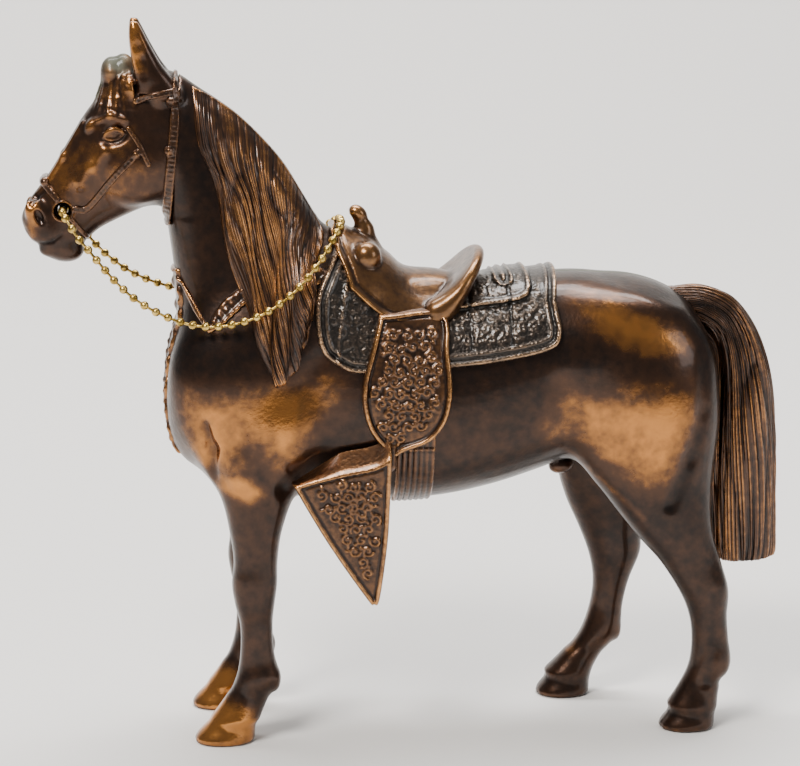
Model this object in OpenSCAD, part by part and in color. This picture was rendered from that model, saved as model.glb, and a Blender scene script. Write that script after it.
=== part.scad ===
// Standing Western-saddled horse, a hollow cast-metal statuette with loose bead-chain reins.
// The horse faces -X, its left side is at -Y, +Z is up and the hooves stand on Z = 0.

/* [Casting] */
// Wall thickness of the hollow body castings
wall = 1.8; // [1.4:0.1:2.6]
// Radius of the hole drilled across the mouth for the reins
mouth_hole_r = 2.3; // [2:0.1:2.6]
// Half distance between the two front feet
fore_track = 15.4; // [14.6:0.1:16.4]
// Half distance between the two hind feet
hind_track = 16.4; // [15.6:0.1:17.2]

/* [Tack] */
// How far the saddle skirt stands out from the body
skirt_t = 1.8; // [1.2:0.1:2.2]
// How far the seat leather stands out from the skirt
seat_t = 2.2; // [1.4:0.1:2.6]
// How far the fender stands out from the skirt
fender_t = 1.8; // [1.2:0.1:2.4]
// How far the thin straps stand out from the body
strap_t = 0.9; // [0.6:0.1:1.2]
// Thickness of the stirrup cover, across the horse
cover_t = 5.6; // [4:0.1:6.4]

/* [Reins] */
// Diameter of the chain's beads
bead_d = 2.4; // [2:0.1:2.6]

/* [Hidden] */

bronze = [0.32, 0.22, 0.16];
copper = [0.62, 0.38, 0.22];
tooled = [0.42, 0.33, 0.27];
brass = [0.78, 0.62, 0.32];

pad_fn = 28;          // facets of the hooves' oval discs
ball_fn = 14;         // facets of the small balls that are hulled
far = 400;            // a length longer than the statuette
mouth = [-94.6, 148.9];  // axis of the hole across the mouth, [x, z]

// Stations of the trunk from chest to buttock: top [x, z], bottom [x, z], half width, lower fullness.
TRUNK = [
    [[-65, 103], [-65, 88], 6, 0], [[-63.5, 109], [-63.5, 82], 12, 0], [[-59, 116], [-58.5, 75], 16.5, 0],
    [[-50, 124], [-50, 70], 19, 0.02], [[-38, 131], [-38, 67.5], 19.8, 0.06], [[-27, 137], [-27, 66.5], 20.4, 0.1],
    [[-19, 138.6], [-19, 66], 21.2, 0.14], [[-9, 133], [-8, 65.6], 22.2, 0.12], [[1, 126.6], [1, 65.8], 22.8, 0.08],
    [[12, 124.8], [12, 67], 23.2, 0.06], [[24, 127], [24, 69.6], 23.3, 0.04], [[35, 128.8], [35, 73], 23, 0.02],
    [[46, 129.4], [46, 76.5], 22.2, 0], [[56, 128.4], [57, 76], 21.4, 0], [[66, 125.8], [68, 75], 20.2, 0],
    [[74, 122], [76, 77], 17.6, 0], [[80, 116.5], [82, 82], 13.5, 0], [[83.6, 109], [85, 90], 7.5, 0]];

// Stations of the neck from withers to poll: throat side, crest side, half width, lower fullness.
NECK = [
    [[-54, 92], [-10, 131], 17, 0], [[-61.4, 106], [-17, 136.4], 18.2, -0.08], [[-62.9, 114.6], [-22, 140.6], 16.6, -0.16],
    [[-63.8, 124], [-28.6, 151.5], 13.8, -0.22], [[-64.8, 133], [-34.6, 161.4], 11.9, -0.25],
    [[-65.8, 141], [-42, 169.8], 10.6, -0.24], [[-67, 149], [-50, 176.4], 9.8, -0.22],
    [[-70, 158], [-58, 182.4], 9.2, -0.18], [[-74, 168], [-65, 186.4], 8.4, -0.1], [[-80, 178], [-74, 186], 4, 0]];

// Stations of the head from poll to muzzle: face side, jaw side, half width, jaw fullness.
HEAD = [
    [[-69, 187.5], [-62, 181], 4.5, 0], [[-76.4, 186.6], [-60.5, 164], 8.8, 0.02], [[-82.6, 182.4], [-65, 150.4], 10.4, 0.04],
    [[-87.4, 177], [-72.5, 148.2], 10.6, 0.02], [[-91.6, 170], [-79, 145.8], 9.4, 0], [[-95.2, 164.2], [-84.4, 142.8], 7.9, -0.02],
    [[-98.4, 159.4], [-87.8, 139.8], 7, -0.02], [[-102.2, 154.4], [-90.4, 137.4], 6.8, 0], [[-105, 150.4], [-93, 135.9], 6.9, 0],
    [[-106.1, 146.6], [-95.6, 136], 6.2, 0], [[-105.4, 143.4], [-98.6, 137.6], 4.4, 0]];

// Stations of a front leg from the hoof up: front [x, z], back [x, z], half width, fullness, inset from the track.
FORELEG = [
    [[-55.6, 7], [-43.4, 7], 5.6, 0, 0], [[-52.8, 12.4], [-40.4, 12.4], 4.8, 0, 0], [[-49.9, 18], [-37.4, 18], 5.3, 0, 0],
    [[-48.5, 25], [-39, 25], 4.5, 0, 0], [[-48.4, 34], [-39.2, 34], 4.7, 0, 0], [[-49.7, 40], [-38.9, 40], 5.7, 0, 0],
    [[-50.4, 46], [-38.2, 46], 6.1, 0, 0], [[-50.2, 53], [-37.6, 53], 6, 0, 0.2], [[-51, 61], [-36.4, 61], 6.7, 0, 0.6],
    [[-53, 69], [-33.6, 69], 7.6, 0, 1.6], [[-57, 78], [-30, 78], 8.7, 0, 2.8], [[-61.5, 90], [-28, 90], 9.6, 0, 4.2],
    [[-60, 104], [-30, 104], 9.2, 0, 5.6], [[-52, 116], [-32, 116], 7, 0, 6.6]];

// Stations of the left hind leg, which stands back under the rump.
HINDLEG_BACK = [
    [[72.4, 7], [85.6, 7], 5.6, 0, 0], [[75.4, 12], [86.2, 12], 4.9, 0, 0], [[78.3, 18], [89.8, 19], 5.4, 0, 0],
    [[78.6, 26], [89.4, 26.5], 4.8, 0, 0], [[77.9, 33], [88.8, 33], 5, 0, 0], [[75, 41], [88.4, 40.5], 5.9, 0, 0],
    [[69.4, 49.5], [86.2, 49], 6.2, 0, 0.3], [[62.6, 57], [84.4, 57], 7.6, 0, 1], [[54, 68], [84, 66], 9.2, 0, 2.4],
    [[46, 80], [85, 80], 10.6, 0, 4.2], [[46.5, 94], [86, 94], 11.2, 0, 5.2], [[51, 108], [83, 108], 10.2, 0, 6.4],
    [[58, 118], [76, 118], 6.4, 0, 8]];

// Stations of the right hind leg, which stands a short step forward.
HINDLEG_FRONT = [
    [[42, 7], [54.6, 7], 5.6, 0, 0], [[47.4, 12], [58.8, 12], 4.9, 0, 0], [[52.6, 19], [63.4, 18.6], 5.4, 0, 0],
    [[54.9, 28], [65, 28], 4.8, 0, 0], [[55.7, 36], [67, 36], 5.2, 0, 0], [[54.4, 43], [69.4, 43.5], 5.9, 0, 0],
    [[51.6, 51], [70.4, 51], 6.6, 0, 0.4], [[47.4, 60], [74, 60], 7.8, 0, 1.2], [[44.6, 70], [79, 70], 9.2, 0, 2.6],
    [[44, 82], [83.4, 82], 10.6, 0, 4.2], [[46.5, 94], [85.4, 94], 11.2, 0, 5.2], [[51, 108], [83, 108], 10.2, 0, 6.4],
    [[58, 118], [76, 118], 6.4, 0, 8]];

// Stations of the tail from its root to its blunt end: outer edge, inner edge, half width.
TAIL = [
    [[70, 124.2], [73.5, 114], 3.6, 0], [[76.5, 124.6], [78.5, 115], 5, 0], [[84, 124.4], [83, 113.2], 6.4, 0],
    [[92.2, 121], [86.6, 109.6], 7.4, 0], [[99.2, 112], [88.6, 102], 8, 0], [[103.6, 99.5], [88.6, 93], 8.4, 0],
    [[105.4, 84], [88, 81], 8.6, 0], [[105.9, 68], [87.4, 67], 8.6, 0], [[106.1, 46.4], [88.4, 45], 8, 0]];

// Route of the reins from the middle of the mouth hole, along the left side, over the withers and back.
REIN_LEFT = [
    [-94.6, -1, 148.9], [-94.6, -7.4, 148.9], [-94.2, -10.4, 148.4], [-92.8, -12.4, 146.4], [-90.7, -13.3, 143],
    [-87.6, -14, 139.2], [-84.2, -14.8, 135], [-80.6, -15.8, 130.9], [-76.6, -16.8, 127.2], [-72.2, -17.8, 124.2],
    [-67.4, -18.8, 121.8], [-62, -20, 120], [-56.2, -21.4, 119.3], [-50.4, -22.6, 119.9], [-45, -23.4, 121.4],
    [-40.2, -23.8, 123.6], [-35.8, -23.4, 126.4], [-31.6, -22.2, 129.8], [-27.8, -19.8, 133.6], [-24.4, -16, 137.4],
    [-21.2, -11, 141.6], [-19.2, -5.4, 143.9], [-18.8, 0, 144.5]];
REIN_RIGHT = [
    [-19.2, 5.4, 143.9], [-21.2, 11, 141.6], [-24.4, 16, 137.4], [-27.8, 19.8, 133.8], [-31.6, 22.2, 130.4],
    [-36, 23.4, 127.4], [-40.8, 23.8, 125], [-46, 23.4, 123.2], [-51.6, 22.6, 122], [-57.4, 21.2, 121.6],
    [-63.2, 19.8, 122.4], [-68.8, 18.4, 124.2], [-74.2, 17, 126.6], [-79.2, 15.8, 129.8], [-83.6, 14.8, 133.6],
    [-87.4, 14, 137.8], [-90.6, 13.3, 142.4], [-92.8, 12.4, 146.3], [-94.2, 10.4, 148.4], [-94.6, 7.4, 148.9],
    [-94.6, 1, 148.9]];
REIN = concat(REIN_LEFT, REIN_RIGHT);
clasp_at = 9;         // the clasp sits at this point of the right-hand route

// One value raised to a power with its sign kept.
function signed_pow(v, p) = sign(v) * pow(abs(v), p);

// Cross-section of a station: an oval through its two edge points, widened by grow.
function section(s, n, grow) =
    let (mid = (s[0] + s[1]) / 2, half = (s[1] - s[0]) / 2, reach = norm(half), dir = half / reach)
    [for (i = [0:n - 1])
        let (a = 360 * i / n, along = signed_pow(cos(a), 0.88), across = signed_pow(sin(a), 0.88))
        [mid[0] + dir[0] * along * (reach + grow),
         across * (s[2] * (1 + s[3] * along) + grow) - (len(s) > 4 ? s[4] : 0),
         mid[1] + dir[1] * along * (reach + grow)]];

// Whether the sections of a list turn against the way they follow each other.
function turns_back(st) =
    let (d = st[1][0] + st[1][1] - st[0][0] - st[0][1], u = st[0][1] - st[0][0]) u[0] * d[1] - u[1] * d[0] < 0;

function reversed(v) = [for (i = [len(v) - 1:-1:0]) v[i]];

// Closed skin over rings of n points each.
module skin(rings, n, back) {
    last = len(rings) - 1;
    sides = [for (i = [0:last - 1], j = [0:n - 1])
        let (a = i * n + j, b = i * n + (j + 1) % n) each [[a, a + n, b + n], [a, b + n, b]]];
    caps = [[for (j = [0:n - 1]) j], [for (j = [n - 1:-1:0]) last * n + j]];
    faces = concat(sides, caps);
    polyhedron([for (r = rings) each r], [for (f = faces) back ? reversed(f) : f]);
}

module loft(st, n, grow = 0) {
    skin([for (s = st) section(s, n, grow)], n, turns_back(st));
}

module trunk(grow = 0) { loft(TRUNK, 36, grow); }
module neck(grow = 0) { loft(NECK, 28, grow); }
module head(grow = 0) { loft(HEAD, 28, grow); }

// A horizontal oval disc, for hulling hooves.
module pad(x0, x1, half_w, z, t = 0.6) {
    translate([(x0 + x1) / 2, 0, z]) scale([(x1 - x0) / 2, half_w, 1]) cylinder(r = 1, h = t, $fn = pad_fn);
}

module ball(p, r) { translate(p) sphere(r, $fn = ball_fn); }

// Hoof with its sloping wall and heel bulb; toe is the x of the toe on the ground.
module hoof(toe) {
    hull() { pad(toe, toe + 17, 6.8, 0); pad(toe + 5.4, toe + 18.4, 5.6, 7.4); }
    hull() { pad(toe + 9, toe + 17.6, 6, 1); ball([toe + 14.4, 0, 7.4], 3.6); }
}

// One leg at its track, on the left (-1) or the right (+1).
module leg(st, track, toe, side) {
    mirror([0, side > 0 ? 0 : 1, 0]) translate([0, track, 0]) { loft(st, 18); hoof(toe); }
}

// Pricked ear, cupped forward.
module ear(side) {
    mirror([0, side > 0 ? 0 : 1, 0]) {
        hull() { ball([-70.5, 5, 183.5], 4.2); ball([-70.6, 6, 190], 3.7); }
        hull() { ball([-70.6, 6, 190], 3.7); ball([-73, 6.8, 196.4], 2.6); }
        hull() { ball([-73, 6.8, 196.4], 2.6); ball([-74.9, 6.6, 201.8], 0.9); }
    }
}

// Forelock between the ears, parted over the forehead.
module forelock() {
    hull() { ball([-70, 0, 187.6], 3.2); ball([-79.4, 0, 187.6], 3.2); }
    hull() { ball([-79.4, 0, 187.6], 3.2); ball([-85, 0, 178.4], 2); }
}

// Mane laid over on the left side of the neck, from the poll to the shoulder.
module mane() {
    locks = [[[-56, 181], [-60, 166]], [[-48, 175], [-58, 152]], [[-40, 168], [-55, 139]],
             [[-33, 159], [-50, 127]], [[-27, 149], [-44, 117]], [[-23, 142], [-37, 109]]];
    half_w = [8, 10, 11.4, 13.6, 15.6, 17.6];
    for (i = [0:len(locks) - 2]) hull() for (k = [i, i + 1]) {
        ball([locks[k][0][0], -2, locks[k][0][1]], 3);
        ball([locks[k][1][0], -half_w[k], locks[k][1][1]], 2.6);
    }
}

// Both cheeks of the jaw and the brows over the eyes.
module face_relief(side) {
    mirror([0, side > 0 ? 0 : 1, 0]) {
        hull() { ball([-71, 7, 156], 4.4); ball([-75, 6.6, 162], 4.6); }
        hull() { ball([-82, 8.6, 173.6], 2.2); ball([-77.6, 9, 173.4], 2.2); }
        hull() { ball([-101.8, 4.8, 147.6], 2.4); ball([-98.6, 4.6, 144.6], 2.6); }
    }
}

// Whole outside of the horse without its tail, as one solid.
module horse_side(side) {
    trunk();
    neck();
    head();
    forelock();
    ear(side);
    face_relief(side);
    leg(FORELEG, fore_track, -61.8, side);
    if (side < 0) leg(HINDLEG_BACK, hind_track, 69.6, side);
    else leg(HINDLEG_FRONT, hind_track, 38.8, side);
    if (side < 0) mane();
}

module horse() {
    horse_side(-1);
    horse_side(1);
}

module mouth_hole() {
    translate([mouth[0], 0, mouth[1]]) rotate([90, 0, 0]) cylinder(r = mouth_hole_r, h = 60, center = true, $fn = 48);
}

// The space that the castings leave inside, open from one half to the other.
module hollow() {
    trunk(-wall);
    neck(-wall);
    head(-wall);
}

// One half of the horse, cast with its two legs and cut along the middle plane.
module body_half(side) {
    difference() {
        intersection() {
            horse_side(side);
            translate([-far / 2, side > 0 ? 0 : -far, 0]) cube([far, far, far]);
        }
        hollow();
        mouth_hole();
        loft(TAIL, 22);
    }
}

module body_left() { color(bronze) body_half(-1); }
module body_right() { color(bronze) body_half(1); }

// Tail, cast apart with a root that is let into the rump.
module tail() {
    color(bronze) loft(TAIL, 22);
}

// A side outline, given as [x, z] points, run right through the horse or only through one side.
module side_cut(outline, side = 0) {
    depth = side == 0 ? far : far / 2;
    start = side == 0 ? far / 2 : side > 0 ? far / 2 : 0;
    translate([0, start, 0]) rotate([90, 0, 0]) linear_extrude(depth) offset(r = 1.2, $fn = 24) offset(delta = -1.2)
        polygon(outline);
}

SKIRT = [[-17, 146], [-24.4, 132], [-26.8, 126], [-27, 118], [-25.4, 111.4], [-20.8, 107.6], [-14, 105.6],
         [8.6, 106.8], [23, 108.4], [36.8, 111.4], [40, 116], [39.2, 124], [38.2, 146]];
SEAT = [[-17.6, 128.4], [-11.4, 122.6], [-6.4, 119.6], [1, 118.6], [8.2, 119.4], [11, 122.4], [12.2, 128.6],
        [22.6, 134], [22, 146], [-19.4, 146]];
FENDER = [[-9.8, 121.5], [-12.4, 112], [-14.6, 104], [-14.8, 97], [-12.8, 90], [-8.6, 84.4], [-6.6, 82.4],
          [-3.2, 84.4], [3.6, 87.2], [8, 93], [9.6, 101], [9, 111], [7.8, 121.5]];
COVER = [[-8, 84], [-12.4, 81.6], [-21.4, 79.6], [-32.6, 76], [-33, 74], [-24.2, 58.6], [-13.8, 43.2], [-12.2, 42.2],
         [-10.6, 43.4], [-8.4, 59], [-7.6, 72], [-7.2, 83]];

module skirt_solid() {
    intersection() {
        trunk(skirt_t);
        side_cut(SKIRT);
    }
}

// Saddle skirt and blanket, one sheet wrapped over the back.
module saddle_skirt() {
    color(tooled) difference() {
        skirt_solid();
        horse();
    }
}

// Point of the cantle's rim at angle b from its top.
function cantle_rim(b) = [20 - 9 * (1 - cos(b)), 17 * sin(b), 123.6 + 11.6 * cos(b)];

// Fork, horn and cantle that stand on the seat.
module saddle_tree() {
    for (s = [-1, 1]) hull() { ball([-12, s * 9.4, 136.4], 4.2); ball([-11.4, s * 4, 138.4], 4); }
    hull() { ball([-11.4, 4, 138.4], 4); ball([-11.4, -4, 138.4], 4); }
    hull() { ball([-10.6, 0, 140], 2.2); ball([-12, 0, 145.4], 2); }
    hull() { ball([-13.6, 0, 147], 1.9); ball([-9.8, 0, 144.4], 1.9); }
    for (a = [-75:25:50]) hull() for (b = [a, a + 25]) {
        ball(cantle_rim(b), 1.5);
        ball(cantle_rim(b) - [4, 0, 7], 1.5);
    }
}

module saddle_seat() {
    color(copper) difference() {
        union() {
            intersection() { trunk(skirt_t + seat_t); side_cut(SEAT); }
            saddle_tree();
        }
        trunk(skirt_t);
        horse();
    }
}

// Fender, the broad stirrup leather of one side.
module fender(side) {
    difference() {
        intersection() { trunk(skirt_t + fender_t); side_cut(FENDER, side); }
        skirt_solid();
        intersection() { trunk(skirt_t + seat_t); side_cut(SEAT); }
        horse();
    }
}

module fender_left() { color(copper) fender(-1); }
module fender_right() { color(copper) fender(1); }

// Pointed stirrup cover hanging from the fender.
module stirrup(side) {
    difference() {
        mirror([0, side > 0 ? 0 : 1, 0]) translate([-8, 23.6 + cover_t / 2, 0]) rotate([0, 0, -6])
            translate([8, 0, 0]) intersection() {
                side_cut(COVER);
                translate([-60, -cover_t / 2, 30]) cube([80, cover_t, 70]);
            }
        fender(side);
        horse();
    }
}

module stirrup_left() { color(copper) stirrup(-1); }
module stirrup_right() { color(copper) stirrup(1); }

// Cinch, the corded girth round the belly.
module cinch() {
    color(tooled) difference() {
        intersection() {
            trunk(strap_t);
            translate([-5.6, -far / 2, 60]) cube([11, far, 30]);
        }
        skirt_solid();
        fender(-1);
        fender(1);
        stirrup(-1);
        stirrup(1);
        horse();
    }
}

COLLAR = [[-70, 138], [-62, 134], [-55.6, 122.6], [-46.6, 129.4], [-25.6, 134], [-25.6, 129.4], [-46, 124.6],
          [-56, 116.6], [-63.4, 128.6], [-70, 131.6]];

// Breast collar: one strap round the base of the neck and a broad plate down the chest.
module breast_collar() {
    color(tooled) difference() {
        union() {
            intersection() {
                union() { trunk(strap_t); neck(strap_t); mane(); }
                side_cut(COLLAR);
            }
            intersection() {
                union() { translate([-strap_t, 0, 0]) trunk(); trunk(strap_t); neck(strap_t); }
                translate([-70, -6.5, 81]) cube([20, 13, 52]);
            }
        }
        skirt_solid();
        horse();
    }
}

// One bridle strap: the band of the head between two points of the side view.
module strap_band(p, q, w) {
    d = q - p;
    translate([p[0], 0, p[1]]) rotate([0, -atan2(d[1], d[0]), 0]) translate([0, -far / 2, -w / 2])
        cube([norm(d), far, w]);
}

// Bridle: crown, browband, noseband, cheek pieces and throatlatch.
module bridle() {
    color(tooled) difference() {
        intersection() {
            union() { head(strap_t); neck(strap_t); }
            union() {
                strap_band([-103, 163], [-85, 139], 2.6);
                strap_band([-89.4, 178.6], [-70, 180.6], 2.2);
                strap_band([-71, 181], [-94.4, 148.2], 2.2);
                strap_band([-59, 187], [-71, 180.6], 2.2);
                strap_band([-71, 181], [-66, 146], 2.2);
            }
        }
        horse();
        mouth_hole();
    }
}

function unit(v) = v / norm(v);

// Ring of the rein tube at point i of its route.
function rein_ring(i, n) =
    let (p = REIN[i], t = unit(REIN[min(i + 1, len(REIN) - 1)] - REIN[max(i - 1, 0)]),
         a = unit(cross([1, 0, 0.3], t)), b = cross(t, a))
    [for (j = [0:n - 1]) p + bead_d / 2 * (cos(360 * j / n) * a + sin(360 * j / n) * b)];

// The bead chain as a plain tube along its whole route, leaving room for the clasp.
module rein_chain() {
    sides = 8;
    color(brass) difference() {
        skin([for (i = [0:len(REIN) - 1]) rein_ring(i, sides)], sides, false);
        clasp_core(0.15);
    }
}

// The clasp is a short sleeve along the route, between two neighbouring points.
module clasp_core(extra) {
    p = REIN_RIGHT[clasp_at];
    q = REIN_RIGHT[clasp_at + 1];
    d = q - p;
    translate((p + q) / 2) rotate([0, acos(d[2] / norm(d)), atan2(d[1], d[0])])
        cylinder(r = bead_d / 2 + 0.3, h = 6.4 + 2 * extra, center = true, $fn = 48);
}

module rein_clasp() { color(brass) clasp_core(0); }

body_left();
body_right();
tail();
saddle_seat();
saddle_skirt();
fender_left();
fender_right();
stirrup_left();
stirrup_right();
cinch();
breast_collar();
bridle();
rein_chain();
rein_clasp();
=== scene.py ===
"""Looks for a saddled horse statuette: a hollow alloy casting, plated with copper, browned and buffed,
with loose bead-chain reins. The horse faces -X, its left side is at -Y, and it stands on Z = 0."""
import math

import bmesh
import bpy
import numpy as np
import openvdb as vdb
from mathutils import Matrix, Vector
from mathutils.bvhtree import BVHTree


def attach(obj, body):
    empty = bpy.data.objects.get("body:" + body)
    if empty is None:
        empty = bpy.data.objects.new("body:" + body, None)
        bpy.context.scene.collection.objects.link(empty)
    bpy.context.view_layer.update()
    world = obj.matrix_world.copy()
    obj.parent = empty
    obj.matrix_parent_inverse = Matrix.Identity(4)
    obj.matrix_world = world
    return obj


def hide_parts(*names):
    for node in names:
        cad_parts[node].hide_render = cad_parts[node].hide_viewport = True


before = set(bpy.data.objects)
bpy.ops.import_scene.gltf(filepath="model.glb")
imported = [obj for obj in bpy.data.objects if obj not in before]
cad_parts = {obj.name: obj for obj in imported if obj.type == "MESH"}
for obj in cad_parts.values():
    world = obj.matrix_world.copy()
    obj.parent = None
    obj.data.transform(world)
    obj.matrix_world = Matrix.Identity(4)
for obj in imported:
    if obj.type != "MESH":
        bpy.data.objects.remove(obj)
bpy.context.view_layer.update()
MM = 0.001  # every size below is in millimetres, and meshes are built in metres

# ---------------------------------------------------------------------------------------------
# Camera: a long lens, level with the saddle and a little towards the head.
AIM = np.array([-2.3, 0, 98])
STAND_OFF = 760
TURN, RISE = math.radians(-5.5), math.radians(12.5)
LENS = 122.1

out = np.array([math.sin(TURN) * math.cos(RISE), -math.cos(TURN) * math.cos(RISE), math.sin(RISE)])
camera = bpy.data.objects.new("camera", bpy.data.cameras.new("camera"))
bpy.context.scene.collection.objects.link(camera)
camera.location = Vector((AIM + STAND_OFF * out) * MM)
camera.rotation_euler = Vector(out).to_track_quat("Z", "Y").to_euler()
camera.data.lens = LENS
camera.data.clip_start = 0.01
bpy.context.scene.camera = camera

# ---------------------------------------------------------------------------------------------
# Reins: one loop of bead chain, hollow brass beads on dumb-bell wires. It comes out of the hole
# through the mouth, hangs in a bow on each side and lies over the withers in front of the saddle.
BEAD = 2.4
PITCH = 3.55
LINK_WIRE = 0.8
REIN_LEFT = [
    (-94.6, -1, 148.9), (-94.6, -7.4, 148.9), (-94.2, -10.4, 148.4), (-92.8, -12.4, 146.4),
    (-90.7, -13.3, 143), (-87.6, -14, 139.2), (-84.2, -14.8, 135), (-80.6, -15.8, 130.9),
    (-76.6, -16.8, 127.2), (-72.2, -17.8, 124.2), (-67.4, -18.8, 121.8), (-62, -20, 120),
    (-56.2, -21.4, 119.3), (-50.4, -22.6, 119.9), (-45, -23.4, 121.4), (-40.2, -23.8, 123.6),
    (-35.8, -23.4, 126.4), (-31.6, -22.2, 129.8), (-27.8, -19.8, 133.6), (-24.4, -16, 137.4),
    (-21.2, -11, 141.6), (-19.2, -5.4, 143.9), (-18.8, 0, 144.5)]
REIN_RIGHT = [
    (-19.2, 5.4, 143.9), (-21.2, 11, 141.6), (-24.4, 16, 137.4), (-27.8, 19.8, 133.8),
    (-31.6, 22.2, 130.4), (-36, 23.4, 127.4), (-40.8, 23.8, 125), (-46, 23.4, 123.2),
    (-51.6, 22.6, 122), (-57.4, 21.2, 121.6), (-63.2, 19.8, 122.4), (-68.8, 18.4, 124.2),
    (-74.2, 17, 126.6), (-79.2, 15.8, 129.8), (-83.6, 14.8, 133.6), (-87.4, 14, 137.8),
    (-90.6, 13.3, 142.4), (-92.8, 12.4, 146.3), (-94.2, 10.4, 148.4), (-94.6, 7.4, 148.9),
    (-94.6, 1, 148.9)]


def through(rows, per_span):
    """A smooth curve through rows of numbers, with per_span steps between neighbours."""
    rows = np.asarray(rows, float)
    ends = np.vstack([2 * rows[0] - rows[1], rows, 2 * rows[-1] - rows[-2]])
    steps = []
    for i in range(len(rows) - 1):
        a, b, c, d = ends[i:i + 4]
        for t in np.arange(per_span) / per_span:
            steps.append(0.5 * (2 * b + (c - a) * t + (2 * a - 5 * b + 4 * c - d) * t ** 2
                                + (3 * b - a - 3 * c + d) * t ** 3))
    steps.append(rows[-1])
    return np.array(steps)


def new_piece(name, verts, faces, material=None):
    """A mesh object from points in millimetres."""
    mesh = bpy.data.meshes.new(name)
    mesh.from_pydata((np.asarray(verts) * MM).tolist(), [], [list(f) for f in faces])
    mesh.polygons.foreach_set("use_smooth", [True] * len(mesh.polygons))
    mesh.update()
    piece = bpy.data.objects.new(name, mesh)
    bpy.context.scene.collection.objects.link(piece)
    if material:
        mesh.materials.append(material)
    return piece


def node(tree, kind, inputs=None, **settings):
    """One node of a tree with its settings; inputs maps a socket's name or place to a value or a socket."""
    made = tree.nodes.new(kind)
    for key, value in settings.items():
        setattr(made, key, value)
    for key, value in (inputs or {}).items():
        socket = made.inputs[key]
        if isinstance(value, bpy.types.NodeSocket):
            tree.links.new(value, socket)
        else:
            socket.default_value = value
    return made


def ramp(tree, factor, stops):
    """A colour ramp from (place, colour) stops."""
    made = node(tree, "ShaderNodeValToRGB", {"Fac": factor})
    slots = made.color_ramp.elements
    while len(slots) < len(stops):
        slots.new(0.5)
    for slot, (place, colour) in zip(slots, stops):
        slot.position = place
        slot.color = (*colour, 1) if len(colour) == 3 else colour
    return made.outputs["Color"]


def bead_brass():
    """Stamped brass gone slightly dull, with greenish grime where the beads meet the wire."""
    material = bpy.data.materials.new("bead_brass")
    material.use_nodes = True
    tree = material.node_tree
    shader = tree.nodes["Principled BSDF"]
    place = node(tree, "ShaderNodeTexCoord")
    grime = node(tree, "ShaderNodeTexNoise", {"Vector": place.outputs["Object"], "Scale": 700, "Detail": 3})
    colour = ramp(tree, grime.outputs["Fac"], [(0.32, (0.16, 0.1, 0.02)), (0.5, (0.48, 0.32, 0.08)),
                                               (0.7, (0.75, 0.54, 0.18))])
    rough = node(tree, "ShaderNodeMapRange", {"Value": grime.outputs["Fac"], "To Min": 0.42, "To Max": 0.2})
    tree.links.new(colour, shader.inputs["Base Color"])
    tree.links.new(rough.outputs["Result"], shader.inputs["Roughness"])
    shader.inputs["Metallic"].default_value = 1
    return material


def bead_chain_tree():
    """Geometry Nodes: beads at an even pitch along a curve, threaded on a thin wire."""
    tree = bpy.data.node_groups.new("bead_chain", "GeometryNodeTree")
    face = tree.interface
    face.new_socket("Geometry", in_out="INPUT", socket_type="NodeSocketGeometry")
    for label in ("Bead radius", "Pitch", "Wire radius"):
        face.new_socket(label, in_out="INPUT", socket_type="NodeSocketFloat")
    face.new_socket("Material", in_out="INPUT", socket_type="NodeSocketMaterial")
    face.new_socket("Geometry", in_out="OUTPUT", socket_type="NodeSocketGeometry")
    given = tree.nodes.new("NodeGroupInput").outputs
    result = tree.nodes.new("NodeGroupOutput")
    spots = node(tree, "GeometryNodeResampleCurve", {"Curve": given["Geometry"], "Length": given["Pitch"]},
                 mode="LENGTH")
    bead = node(tree, "GeometryNodeMeshUVSphere", {"Segments": 16, "Rings": 11, "Radius": given["Bead radius"]})
    turned = node(tree, "FunctionNodeAlignRotationToVector",
                  {"Vector": node(tree, "GeometryNodeInputTangent").outputs[0]}, axis="Z")
    beads = node(tree, "GeometryNodeInstanceOnPoints",
                 {"Points": spots.outputs[0], "Instance": bead.outputs["Mesh"], "Rotation": turned.outputs[0]})
    ring = node(tree, "GeometryNodeCurvePrimitiveCircle", {"Resolution": 8, "Radius": given["Wire radius"]})
    wire = node(tree, "GeometryNodeCurveToMesh", {"Curve": given["Geometry"], "Profile Curve": ring.outputs[0],
                                                  "Fill Caps": True})
    both = tree.nodes.new("GeometryNodeJoinGeometry")
    tree.links.new(wire.outputs[0], both.inputs[0])
    tree.links.new(beads.outputs[0], both.inputs[0])
    real = node(tree, "GeometryNodeRealizeInstances", {"Geometry": both.outputs[0]})
    soft = node(tree, "GeometryNodeSetShadeSmooth", {"Geometry": real.outputs[0]})
    done = node(tree, "GeometryNodeSetMaterial", {"Geometry": soft.outputs[0], "Material": given["Material"]})
    tree.links.new(done.outputs[0], result.inputs[0])
    return tree


def grown(name, source, tree, values):
    """The plain mesh that a Geometry Nodes tree makes from a source object, which is then removed."""
    modifier = source.modifiers.new("nodes", "NODES")
    modifier.node_group = tree
    for item in tree.interface.items_tree:
        if item.in_out == "INPUT" and item.name in values:
            modifier[item.identifier] = values[item.name]
    shaped = source.evaluated_get(bpy.context.evaluated_depsgraph_get())
    mesh = bpy.data.meshes.new_from_object(shaped)
    bpy.data.objects.remove(source)
    mesh.name = name
    piece = bpy.data.objects.new(name, mesh)
    bpy.context.scene.collection.objects.link(piece)
    return piece


def line_object(name, points):
    """A poly curve through points given in millimetres."""
    curve = bpy.data.curves.new(name, "CURVE")
    curve.dimensions = "3D"
    path = curve.splines.new("POLY")
    path.points.add(len(points) - 1)
    path.points.foreach_set("co", np.c_[np.asarray(points) * MM, np.ones(len(points))].ravel())
    made = bpy.data.objects.new(name, curve)
    bpy.context.scene.collection.objects.link(made)
    return made


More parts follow.
